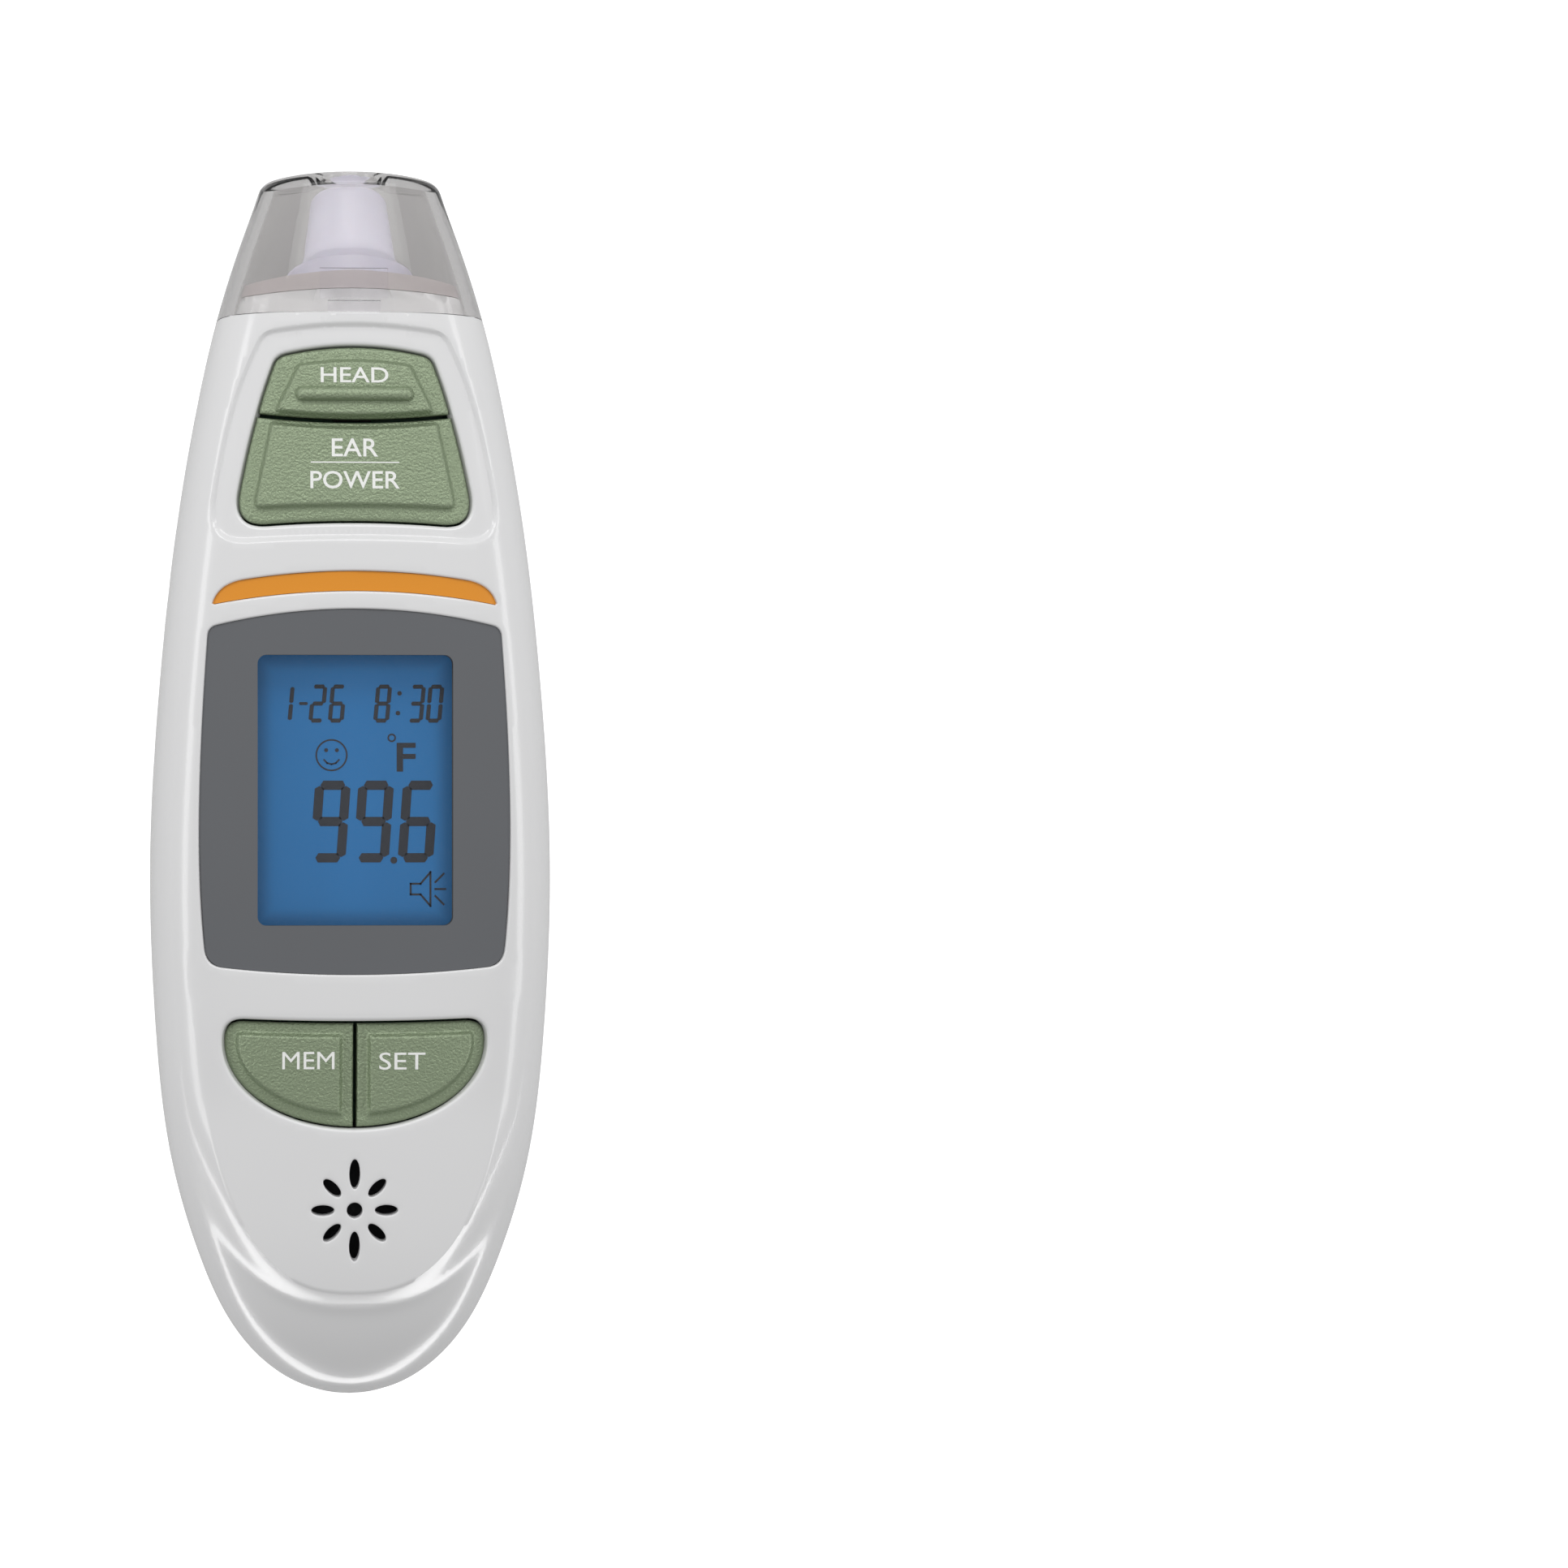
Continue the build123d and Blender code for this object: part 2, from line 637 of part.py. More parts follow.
# The arched plate that closes the neck around the probe.
with BuildSketch() as plate_plan:
    with BuildLine():
        ThreePointArc((-20, 57.55), (0, 60.15), (20, 57.55))
        Line((20, 57.55), (20, 57.65))
        ThreePointArc((20, 57.65), (0, 62.3), (-20, 57.65))
        Line((-20, 57.65), (-20, 57.55))
    make_face()

with BuildPart() as neck_plate:
    add(column(plate_plan.sketch, 0, 33))
    add(neck_form, mode=Mode.INTERSECT)
    add(probe_place * probe_solid.part, mode=Mode.SUBTRACT)
neck_plate.part.label = "neck_plate"
export_step(neck_plate.part, "parts/neck_plate.step")

# ---------------------------------------------------------------- lens, strip and display

with BuildPart() as display_window:
    add(skin_plug(window_outline(), LENS_BACK + GLUE, case_form(0.3)))
display_window.part.label = "display_window"
export_step(display_window.part, "parts/display_window.step")

with BuildPart() as accent_strip:
    add(skin_plug(strip_outline(), 20.0, case_form(0.35)))
    add(case_form(1.2 - GLUE), mode=Mode.SUBTRACT)
accent_strip.part.label = "accent_strip"
export_step(accent_strip.part, "parts/accent_strip.step")

with BuildPart() as lcd_glass:
    with BuildSketch(Plane.XY.offset(GLASS_BACK)):
        with Locations((0, LCD_Y)):
            Rectangle(LCD_WIDTH, LCD_LENGTH)
    extrude(amount=GLASS_TOP - GLASS_BACK)
lcd_glass.part.label = "lcd_glass"
export_step(lcd_glass.part, "parts/lcd_glass.step")

with BuildPart() as backlight:
    with BuildSketch(Plane.XY.offset(LIGHT_BACK)):
        with Locations((0, LCD_Y)):
            Rectangle(LCD_WIDTH - 1.0, LCD_LENGTH - 4.0)
    extrude(amount=GLASS_BACK - LIGHT_BACK - GLUE)
    fillet(backlight.edges().filter_by(Axis.Z), radius=0.6)
backlight.part.label = "backlight"
export_step(backlight.part, "parts/backlight.step")

with BuildPart() as lcd_frame:
    with BuildSketch(Plane.XY.offset(BOARD_TOP)):
        with Locations((0, LCD_Y)):
            Rectangle(LCD_WIDTH + 2.2, LCD_LENGTH + 2.2)
    extrude(amount=GLASS_TOP - BOARD_TOP)
    with BuildSketch(Plane.XY.offset(GLASS_BACK - 1.0)):
        with Locations((0, LCD_Y)):
            Rectangle(LCD_WIDTH + 0.1, LCD_LENGTH + 0.1)
    extrude(amount=GLASS_TOP, mode=Mode.SUBTRACT)
    with BuildSketch(Plane.XY.offset(BOARD_TOP)):
        with Locations((0, LCD_Y)):
            Rectangle(LCD_WIDTH - 0.9, LCD_LENGTH - 3.9)
        with Locations((0, LCD_Y - LCD_LENGTH / 2 + 0.9)):
            Rectangle(LCD_WIDTH - 3.0, 1.9)
    extrude(amount=GLASS_TOP, mode=Mode.SUBTRACT)
lcd_frame.part.label = "lcd_frame"
export_step(lcd_frame.part, "parts/lcd_frame.step")

with BuildPart() as zebra_strip:
    with BuildSketch(Plane.XY.offset(BOARD_TOP)):
        with Locations((0, LCD_Y - LCD_LENGTH / 2 + 0.95)):
            Rectangle(LCD_WIDTH - 3.4, 1.5)
    extrude(amount=GLASS_BACK - BOARD_TOP)
zebra_strip.part.label = "zebra_strip"
export_step(zebra_strip.part, "parts/zebra_strip.step")

# ---------------------------------------------------------------- main board

board_length = BOARD_HIGH_Y - BOARD_LOW_Y
board_middle = (BOARD_HIGH_Y + BOARD_LOW_Y) / 2

with BuildPart() as main_board:
    with BuildSketch(Plane.XY.offset(BOARD_BACK)):
        with Locations((0, board_middle)):
            RectangleRounded(2 * BOARD_HALF, board_length, 1.5)
    extrude(amount=BOARD_TOP - BOARD_BACK)
    with BuildSketch(Plane.XY.offset(BOARD_BACK)):
        with Locations(*BOARD_SCREWS):
            Circle(1.0)
    extrude(amount=BOARD_TOP - BOARD_BACK, mode=Mode.SUBTRACT)
main_board.part.label = "main_board"
export_step(main_board.part, "parts/main_board.step")


def chip(width, length, height, centre):
    """A packaged component on the back of the board, its top edges eased."""
    with BuildPart() as body:
        with BuildSketch(Plane.XY.offset(BOARD_BACK - height)):
            with Locations(centre):
                Rectangle(width, length)
        extrude(amount=height)
        chamfer(body.faces().sort_by(Axis.Z)[0].edges(), length=0.12)
    return body


processor_chip = chip(12.0, 12.0, 1.3, (0, 10.0))
processor_chip.part.label = "processor_chip"
export_step(processor_chip.part, "parts/processor_chip.step")

amplifier_chip = chip(5.0, 6.2, 1.4, (0, 38.0))
amplifier_chip.part.label = "amplifier_chip"
export_step(amplifier_chip.part, "parts/amplifier_chip.step")

memory_chip = chip(4.0, 5.0, 1.4, (9.0, -2.0))
memory_chip.part.label = "memory_chip"
export_step(memory_chip.part, "parts/memory_chip.step")

with BuildPart() as small_components:
    with BuildSketch(Plane.XY.offset(BOARD_BACK)):
        with GridLocations(4.0, 3.2, 4, 2):
            Rectangle(1.6, 0.8)
        with Locations((0, 26.0)):
            with GridLocations(3.4, 2.6, 4, 3):
                Rectangle(1.0, 1.8)
    extrude(amount=-0.7)
small_components.part.label = "small_components"
export_step(small_components.part, "parts/small_components.step")

with BuildPart() as crystal_can:
    with BuildSketch(Plane.XY.offset(BOARD_BACK)):
        with Locations((-9.5, 6.0)):
            SlotOverall(8.0, 2.6, rotation=90)
    extrude(amount=-2.4)
    fillet(crystal_can.faces().sort_by(Axis.Z)[0].edges(), radius=0.3)
crystal_can.part.label = "crystal_can"
export_step(crystal_can.part, "parts/crystal_can.step")

with BuildPart() as switch_housings:
    with BuildSketch(Plane.XY.offset(BOARD_TOP)):
        with Locations(*SWITCHES):
            Rectangle(SWITCH_SIDE, SWITCH_SIDE)
    extrude(amount=SWITCH_TOP - BOARD_TOP)
    with BuildSketch(Plane.XY.offset(BOARD_TOP + 0.3)):
        with Locations(*SWITCHES):
            Circle(SWITCH_BORE)
    extrude(amount=SWITCH_TOP, mode=Mode.SUBTRACT)
switch_housings.part.label = "switch_housings"
export_step(switch_housings.part, "parts/switch_housings.step")

switch_names = ["head_switch_plunger", "ear_switch_plunger", "mem_switch_plunger", "set_switch_plunger"]
for switch_name, place in zip(switch_names, SWITCHES):
    with BuildPart() as plunger:
        with BuildSketch(Plane.XY.offset(PLUNGER_LOW)):
            with Locations(place):
                Circle(PLUNGER_RADIUS)
        extrude(amount=PUSHER_LOW - PLUNGER_LOW)
    plunger.part.label = switch_name
    export_step(plunger.part, f"parts/{switch_name}.step")

# ---------------------------------------------------------------- buttons

rim_form = case_form(BUTTON_INSET)
pad_form = case_form(PAD_INSET)
bar_form = case_form(PAD_INSET - 0.45)

with BuildSketch() as tactile_bar:
    with Locations((0, 47.25)):
        SlotOverall(14.2, 1.6)


def button(outline, pad, flange, place):
    """A button: rim, raised pad, retaining flange and the stem that presses its switch."""
    with BuildPart() as cap:
        add(skin_plug(outline, FLANGE_LOW, rim_form))
        add(skin_plug(pad, FLANGE_LOW, pad_form))
        add(column(flange, FLANGE_LOW, SKIRT_LOW))
        add(column(drilled([place], 1.6), PUSHER_LOW, FLANGE_LOW))
    return cap.part


with BuildPart() as head_button:
    add(button(head_outline(), head_pad.sketch, head_outline(0.7), HEAD_SWITCH))
    add(skin_plug(tactile_bar.sketch, SKIRT_LOW, bar_form))
head_button.part.label = "head_button"
export_step(head_button.part, "parts/head_button.step")

with BuildPart() as ear_power_button:
    add(button(ear_outline(), ear_pad.sketch, ear_outline(0.7), EAR_SWITCH))
ear_power_button.part.label = "ear_power_button"
export_step(ear_power_button.part, "parts/ear_power_button.step")

with BuildPart() as mem_button:
    add(button(mem_outline(), mem_outline(-1.5, 1.1), mem_outline(0.7), MEM_SWITCH))
mem_button.part.label = "mem_button"
export_step(mem_button.part, "parts/mem_button.step")

with BuildPart() as set_button:
    mirror(mem_button.part, about=Plane.YZ)
set_button.part.label = "set_button"
export_step(set_button.part, "parts/set_button.step")

# ---------------------------------------------------------------- speaker

with BuildPart() as speaker_frame:
    with BuildSketch(Plane.XY.offset(SPEAKER_LOW)):
        with Locations((0, SPEAKER_Y)):
            Circle(SPEAKER_RADIUS)
            Circle(MAGNET_RADIUS + 0.1, mode=Mode.SUBTRACT)
    extrude(amount=SPEAKER_TOP - SPEAKER_LOW)
    with BuildSketch(Plane.XY.offset(SPEAKER_LOW + SPEAKER_FLOOR)):
        with Locations((0, SPEAKER_Y)):
            Circle(SPEAKER_RADIUS - SPEAKER_RIM)
    extrude(amount=SPEAKER_TOP, mode=Mode.SUBTRACT)
speaker_frame.part.label = "speaker_frame"
export_step(speaker_frame.part, "parts/speaker_frame.step")

with BuildPart() as speaker_cone:
    with BuildSketch(Plane.XZ.offset(-SPEAKER_Y)):
        with BuildLine():
            Polyline(
                (0, SPEAKER_TOP - 1.3),
                (CAP_RADIUS, SPEAKER_TOP - 1.5),
                (CONE_RADIUS, SPEAKER_TOP - 0.2),
                (CONE_RADIUS, SPEAKER_TOP - 0.05),
                (CAP_RADIUS, SPEAKER_TOP - 1.25),
                (0, SPEAKER_TOP - 1.05),
                close=True,
            )
        make_face()
    revolve(axis=Axis((0, SPEAKER_Y, 0), (0, 0, 1)))
speaker_cone.part.label = "speaker_cone"
export_step(speaker_cone.part, "parts/speaker_cone.step")

with BuildPart() as speaker_magnet:
    with BuildSketch(Plane.XY.offset(MAGNET_LOW)):
        with Locations((0, SPEAKER_Y)):
            Circle(MAGNET_RADIUS)
    extrude(amount=MAGNET_TOP - MAGNET_LOW)
    fillet(speaker_magnet.faces().sort_by(Axis.Z)[0].edges(), radius=0.3)
speaker_magnet.part.label = "speaker_magnet"
export_step(speaker_magnet.part, "parts/speaker_magnet.step")

with BuildSketch() as gasket_outline:
    with Locations((0, SPEAKER_Y)):
        Circle(SPEAKER_RADIUS)
        Circle(SPEAKER_RADIUS - 1.6, mode=Mode.SUBTRACT)

with BuildPart() as speaker_gasket:
    add(skin_plug(gasket_outline.sketch, SPEAKER_TOP, case_form(WALL + 0.02)))
    split(bisect_by=Plane.XY.offset(SPEAKER_TOP), keep=Keep.TOP)
speaker_gasket.part.label = "speaker_gasket"
export_step(speaker_gasket.part, "parts/speaker_gasket.step")

# ---------------------------------------------------------------- cells and contacts

for cell_name, side in (("battery_left", -1), ("battery_right", 1)):
    tip_up = side > 0
    with BuildPart() as cell:
        with BuildSketch(Plane.XZ.offset(-CELL_LOW_Y - (0 if tip_up else 0.9))):
            with Locations((side * CELL_X, CELL_Z)):
                Circle(CELL_RADIUS)
        extrude(amount=-(CELL_HIGH_Y - CELL_LOW_Y - 0.9))
        fillet(cell.edges(), radius=0.4)
        nub_y = CELL_HIGH_Y - 0.9 if tip_up else CELL_LOW_Y
        with BuildSketch(Plane.XZ.offset(-nub_y)):
            with Locations((side * CELL_X, CELL_Z)):
                Circle(1.9)
        extrude(amount=-0.9)
    cell.part.label = cell_name
    export_step(cell.part, f"parts/{cell_name}.step")

# A coil spring presses on the flat end of each cell, a plate on its tip.
for spring_name, side, wall_y, step_y in (
    ("battery_spring_left", -1, BAY_HIGH_Y, -1),
    ("battery_spring_right", 1, BAY_LOW_Y, 1),
):
    cell_end = CELL_HIGH_Y if side < 0 else CELL_LOW_Y
    gap = abs(wall_y - cell_end) - 0.55
    with BuildPart() as spring:
        with BuildSketch(Plane.XZ.offset(-(wall_y + step_y * 0.02))):
            with Locations((side * CELL_X, CELL_Z)):
                Rectangle(CONTACT_SIDE, CONTACT_SIDE)
        extrude(amount=-step_y * 0.35)
        for turn in range(3):
            turn_y = wall_y + step_y * (0.35 + gap * (turn + 0.2) / 3)
            with BuildSketch(Plane.XZ.offset(-turn_y)):
                with Locations((side * CELL_X, CELL_Z)):
                    Circle(3.0 - 0.4 * turn)
                    Circle(2.3 - 0.4 * turn, mode=Mode.SUBTRACT)
            extrude(amount=-step_y * gap / 3.6)
        with BuildSketch(Plane.XZ.offset(-(wall_y + step_y * 0.3))):
            with Locations((side * CELL_X, CELL_Z)):
                with PolarLocations(2.2, 3):
                    Circle(0.3)
        extrude(amount=-step_y * (gap + 0.05))
    spring.part.label = spring_name
    export_step(spring.part, f"parts/{spring_name}.step")

for plate_name, side, wall_y, step_y in (
    ("contact_plate_left", -1, BAY_LOW_Y, 1),
    ("contact_plate_right", 1, BAY_HIGH_Y, -1),
):
    cell_end = CELL_LOW_Y if side < 0 else CELL_HIGH_Y
    with BuildPart() as plate:
        with BuildSketch(Plane.XZ.offset(-(wall_y + step_y * 0.02))):
            with Locations((side * CELL_X, CELL_Z)):
                Rectangle(CONTACT_SIDE, CONTACT_SIDE)
        extrude(amount=-step_y * 0.35)
        with BuildSketch(Plane.XZ.offset(-(wall_y + step_y * 0.3))):
            with Locations((side * CELL_X, CELL_Z)):
                Circle(2.0)
        extrude(amount=-step_y * (abs(wall_y - cell_end) - 0.3))
    plate.part.label = plate_name
    export_step(plate.part, f"parts/{plate_name}.step")

# ---------------------------------------------------------------- screws


def screw(place, head_low, head_radius, shank_radius, shank_top):
    """A pan-head screw driven upwards, with a cross recess in its head."""
    with BuildPart() as fastener:
        with BuildSketch(Plane.XY.offset(head_low)):
            with Locations(place):
                Circle(head_radius)
        extrude(amount=1.0)
        fillet(fastener.faces().sort_by(Axis.Z)[0].edges(), radius=0.35)
        with BuildSketch(Plane.XY.offset(head_low + 0.9)):
            with Locations(place):
                Circle(shank_radius)
        extrude(amount=shank_top - head_low - 0.9)
        with BuildSketch(Plane.XY.offset(head_low)):
            with Locations(place):
                Rectangle(2 * head_radius - 1.0, 0.4)
                Rectangle(0.4, 2 * head_radius - 1.0)
        extrude(amount=0.55, mode=Mode.SUBTRACT)
    return fastener.part


with BuildPart() as case_screws:
    for place in UPPER_SCREWS:
        add(screw(place, 5.0, HEAD_RADIUS, SCREW_RADIUS - 0.02, 20.4))
    for place in LOWER_SCREWS:
        add(screw(place, DOOR_TOP - 0.45, HEAD_RADIUS, SCREW_RADIUS - 0.02, 20.4))
case_screws.part.label = "case_screws"
export_step(case_screws.part, "parts/case_screws.step")

with BuildPart() as board_screws:
    for place in BOARD_SCREWS:
        add(screw(place, BOARD_BACK - 1.0, 1.5, 0.68, 23.2))
board_screws.part.label = "board_screws"
export_step(board_screws.part, "parts/board_screws.step")
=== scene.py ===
import math

import bpy
import numpy as np
from mathutils import Matrix, Vector
from mathutils.bvhtree import BVHTree
from mathutils.geometry import delaunay_2d_cdt


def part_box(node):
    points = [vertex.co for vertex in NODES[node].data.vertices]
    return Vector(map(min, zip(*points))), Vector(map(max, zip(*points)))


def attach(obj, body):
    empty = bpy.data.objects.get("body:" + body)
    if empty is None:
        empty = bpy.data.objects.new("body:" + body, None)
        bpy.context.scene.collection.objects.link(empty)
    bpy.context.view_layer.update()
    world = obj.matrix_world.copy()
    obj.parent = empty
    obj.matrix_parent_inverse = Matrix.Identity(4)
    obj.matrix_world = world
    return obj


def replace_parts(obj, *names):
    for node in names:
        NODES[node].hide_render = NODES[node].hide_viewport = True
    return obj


# Digital ear thermometer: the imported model's casing, keys, cap and electronics get their finishes
# here, and the printed labels, the display's segments and the moulded front are added around them.

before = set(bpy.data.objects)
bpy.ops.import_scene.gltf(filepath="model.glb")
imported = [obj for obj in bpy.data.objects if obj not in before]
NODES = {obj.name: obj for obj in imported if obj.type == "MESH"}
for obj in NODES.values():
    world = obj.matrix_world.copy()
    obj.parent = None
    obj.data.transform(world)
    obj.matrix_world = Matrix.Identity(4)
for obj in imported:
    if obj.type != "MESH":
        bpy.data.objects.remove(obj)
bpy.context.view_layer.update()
MM = 0.001


# ---------------------------------------------------------------- node helpers


def new_group(name, inputs, outputs):
    """An empty shader group with named sockets; inputs are (name, kind, value)."""
    group = bpy.data.node_groups.new(name, "ShaderNodeTree")
    for label, kind, value in inputs:
        socket = group.interface.new_socket(label, in_out="INPUT", socket_type=kind)
        socket.default_value = value
    for label, kind in outputs:
        group.interface.new_socket(label, in_out="OUTPUT", socket_type=kind)
    enter = group.nodes.new("NodeGroupInput")
    leave = group.nodes.new("NodeGroupOutput")
    return group, enter, leave


def node_math(tree, operation, *values):
    """One Math node; the values are sockets or numbers. Returns its output."""
    step = tree.nodes.new("ShaderNodeMath")
    step.operation = operation
    for slot_number, value in enumerate(values):
        if isinstance(value, (int, float)):
            step.inputs[slot_number].default_value = value
        else:
            tree.links.new(value, step.inputs[slot_number])
    return step.outputs[0]


def build_moulded_surface():
    """Slow tone drift and fine moulded grain, from a piece's own coordinates."""
    group, enter, leave = new_group(
        "moulded surface",
        [
            ("Colour", "NodeSocketColor", (0.8, 0.8, 0.8, 1)),
            ("Drift", "NodeSocketFloat", 0.03),
            ("Drift Scale", "NodeSocketFloat", 60.0),
            ("Grain Scale", "NodeSocketFloat", 2500.0),
            ("Grain", "NodeSocketFloat", 1.0),
            ("Roughness", "NodeSocketFloat", 0.3),
            ("Roughness Spread", "NodeSocketFloat", 0.05),
        ],
        [("Colour", "NodeSocketColor"), ("Roughness", "NodeSocketFloat"), ("Height", "NodeSocketFloat")],
    )
    nodes, links = group.nodes, group.links
    place = nodes.new("ShaderNodeTexCoord")
    drift = nodes.new("ShaderNodeTexNoise")
    grain = nodes.new("ShaderNodeTexNoise")
    grain.inputs["Detail"].default_value = 3.0
    links.new(place.outputs["Object"], drift.inputs["Vector"])
    links.new(place.outputs["Object"], grain.inputs["Vector"])
    links.new(enter.outputs["Drift Scale"], drift.inputs["Scale"])
    links.new(enter.outputs["Grain Scale"], grain.inputs["Scale"])
    shade = node_math(group, "MULTIPLY_ADD", drift.outputs["Fac"], enter.outputs["Drift"], 1.0)
    centred = node_math(group, "MULTIPLY_ADD", enter.outputs["Drift"], -0.5, shade)
    tint = nodes.new("ShaderNodeVectorMath")
    tint.operation = "SCALE"
    links.new(enter.outputs["Colour"], tint.inputs[0])
    links.new(centred, tint.inputs["Scale"])
    links.new(tint.outputs[0], leave.inputs["Colour"])
    spread, roughness = enter.outputs["Roughness Spread"], enter.outputs["Roughness"]
    gloss = node_math(group, "MULTIPLY_ADD", grain.outputs["Fac"], spread, roughness)
    links.new(gloss, leave.inputs["Roughness"])
    lift = node_math(group, "MULTIPLY", grain.outputs["Fac"], enter.outputs["Grain"])
    links.new(lift, leave.inputs["Height"])
    return group


MOULDED = build_moulded_surface()


def finish_material(
    name,
    colour,
    roughness,
    spread=0.04,
    drift=0.03,
    drift_scale=60.0,
    grain_scale=2500.0,
    grain=1.0,
    bump=0.02,
    distance=0.00002,
    **sockets,
):
    """A material whose colour, gloss and grain come from the moulded surface group."""
    material = bpy.data.materials.new(name)
    material.use_nodes = True
    nodes, links = material.node_tree.nodes, material.node_tree.links
    shader = nodes["Principled BSDF"]
    surface = nodes.new("ShaderNodeGroup")
    surface.node_tree = MOULDED
    settings = ((*colour, 1), drift, drift_scale, grain_scale, grain, roughness, spread)
    for socket, value in zip(surface.inputs, settings):
        socket.default_value = value
    relief = nodes.new("ShaderNodeBump")
    relief.inputs["Strength"].default_value = bump
    relief.inputs["Distance"].default_value = distance
    links.new(surface.outputs["Colour"], shader.inputs["Base Color"])
    links.new(surface.outputs["Roughness"], shader.inputs["Roughness"])
    links.new(surface.outputs["Height"], relief.inputs["Height"])
    links.new(relief.outputs["Normal"], shader.inputs["Normal"])
    for socket, value in sockets.items():
        shader.inputs[socket.replace("_", " ")].default_value = value
    return material


def paint(material, *names):
    """Gives CAD nodes a material."""
    for name in names:
        piece = NODES[name]
        piece.data.materials.clear()
        piece.data.materials.append(material)


# ---------------------------------------------------------------- materials

WHITE = finish_material(
    "gloss white casing", (0.74, 0.74, 0.745), 0.2, spread=0.05, drift=0.02, bump=0.03,
    Coat_Weight=0.35, Coat_Roughness=0.08, Specular_IOR_Level=0.5,
)
LILAC = finish_material(
    "lilac probe", (0.62, 0.605, 0.70), 0.35, drift=0.03, Subsurface_Weight=0.05,
    Subsurface_Scale=0.002,
)
# The neck plate's grey-brown is painted shade: it stands for the dim, shaded band seen through the cap,
# not for the plate's own colour.
NECK_PLATE_PAINTED_SHADE = finish_material("neck plate painted shade", (0.50, 0.46, 0.46), 0.4, drift=0.12, drift_scale=300)
SAGE = finish_material(
    "metallic sage paint", (0.275, 0.338, 0.220), 0.30, spread=0.16, drift=0.06, grain_scale=3300,
    bump=1.0, distance=0.0002, Metallic=0.6, Coat_Weight=0.2, Coat_Roughness=0.25,
)
ORANGE = finish_material("orange strip", (0.74, 0.27, 0.008), 0.38, drift=0.05, Coat_Weight=0.2)
LABEL = finish_material("white label ink", (0.86, 0.87, 0.84), 0.5, drift=0.25, drift_scale=4000)
SEGMENT = finish_material("display segments", (0.030, 0.034, 0.045), 0.5, drift=0.2)
BLACK = finish_material("black moulding", (0.02, 0.02, 0.022), 0.5, drift=0.2, bump=0.1)
BOARD = finish_material("green solder mask", (0.02, 0.16, 0.06), 0.3, drift=0.3, drift_scale=400)
STEEL = finish_material("plated steel", (0.62, 0.62, 0.64), 0.28, drift=0.08, Metallic=1.0)
NICKEL = finish_material("nickel contacts", (0.70, 0.67, 0.60), 0.22, drift=0.08, Metallic=1.0)
GOLD = finish_material("gold plated tube", (0.85, 0.62, 0.22), 0.2, drift=0.05, Metallic=1.0)
ALUMINIUM = finish_material("turned aluminium", (0.75, 0.76, 0.78), 0.35, drift=0.08, Metallic=1.0)
FLEX = finish_material("polyimide strip", (0.55, 0.24, 0.03), 0.35, drift=0.1)
TAN = finish_material("chip components", (0.45, 0.35, 0.22), 0.5, drift=0.5, drift_scale=900)
PAPER = finish_material("pressed paper cone", (0.045, 0.045, 0.05), 0.9, drift=0.4, bump=0.4)
FOAM = finish_material("closed-cell foam", (0.05, 0.05, 0.055), 0.95, grain_scale=1600, bump=0.9)
ZEBRA = finish_material("elastomer connector", (0.75, 0.30, 0.38), 0.6, drift=0.3, drift_scale=900)
JACKET = finish_material("cell jacket", (0.06, 0.14, 0.34), 0.3, drift=0.2, Coat_Weight=0.4)
GUIDE = finish_material("light guide", (0.70, 0.82, 0.95), 0.3, drift=0.05)
NATURAL = finish_material("switch plunger", (0.75, 0.74, 0.70), 0.5, drift=0.05)
SILICON = finish_material("silicon filter", (0.10, 0.10, 0.13), 0.1, drift=0.1, Metallic=0.5)
FILM = finish_material("infrared film", (0.42, 0.43, 0.50), 0.3, drift=0.1)


def let_lamps_through(material, tint):
    """Glass whose shadow is only a light tint, so what it covers is lit."""
    nodes, links = material.node_tree.nodes, material.node_tree.links
    shader = nodes["Principled BSDF"]
    out = nodes["Material Output"]
    ray = nodes.new("ShaderNodeLightPath")
    open_air = nodes.new("ShaderNodeBsdfTransparent")
    open_air.inputs["Color"].default_value = (*tint, 1)
    mix = nodes.new("ShaderNodeMixShader")
    links.new(ray.outputs["Is Shadow Ray"], mix.inputs["Fac"])
    links.new(shader.outputs[0], mix.inputs[1])
    links.new(open_air.outputs[0], mix.inputs[2])
    links.new(mix.outputs[0], out.inputs["Surface"])


def clear_material(name, colour, roughness, bend, shade):
    """Clear moulded plastic; shade is the tint of its shadow."""
    material = finish_material(
        name, colour, roughness, spread=0.03, drift=0.02, bump=0.04,
        Transmission_Weight=1.0, IOR=bend,
    )
    let_lamps_through(material, shade)
    return material


def rounded_window_mask(tree, half_width, half_height, middle_y, corner):
    """1 outside a rounded rectangle on the face, 0 inside it."""
    place = tree.nodes.new("ShaderNodeTexCoord")
    split = tree.nodes.new("ShaderNodeSeparateXYZ")
    tree.links.new(place.outputs["Object"], split.inputs[0])
    across = node_math(tree, "ABSOLUTE", split.outputs["X"])
    across = node_math(tree, "SUBTRACT", across, half_width - corner)
    across = node_math(tree, "MAXIMUM", across, 0.0)
    along = node_math(tree, "SUBTRACT", split.outputs["Y"], middle_y)
    along = node_math(tree, "ABSOLUTE", along)
    along = node_math(tree, "SUBTRACT", along, half_height - corner)
    along = node_math(tree, "MAXIMUM", along, 0.0)
    across = node_math(tree, "POWER", across, 2.0)
    along = node_math(tree, "POWER", along, 2.0)
    reach = node_math(tree, "ADD", across, along)
    reach = node_math(tree, "SQRT", reach)
    return node_math(tree, "GREATER_THAN", reach, corner)


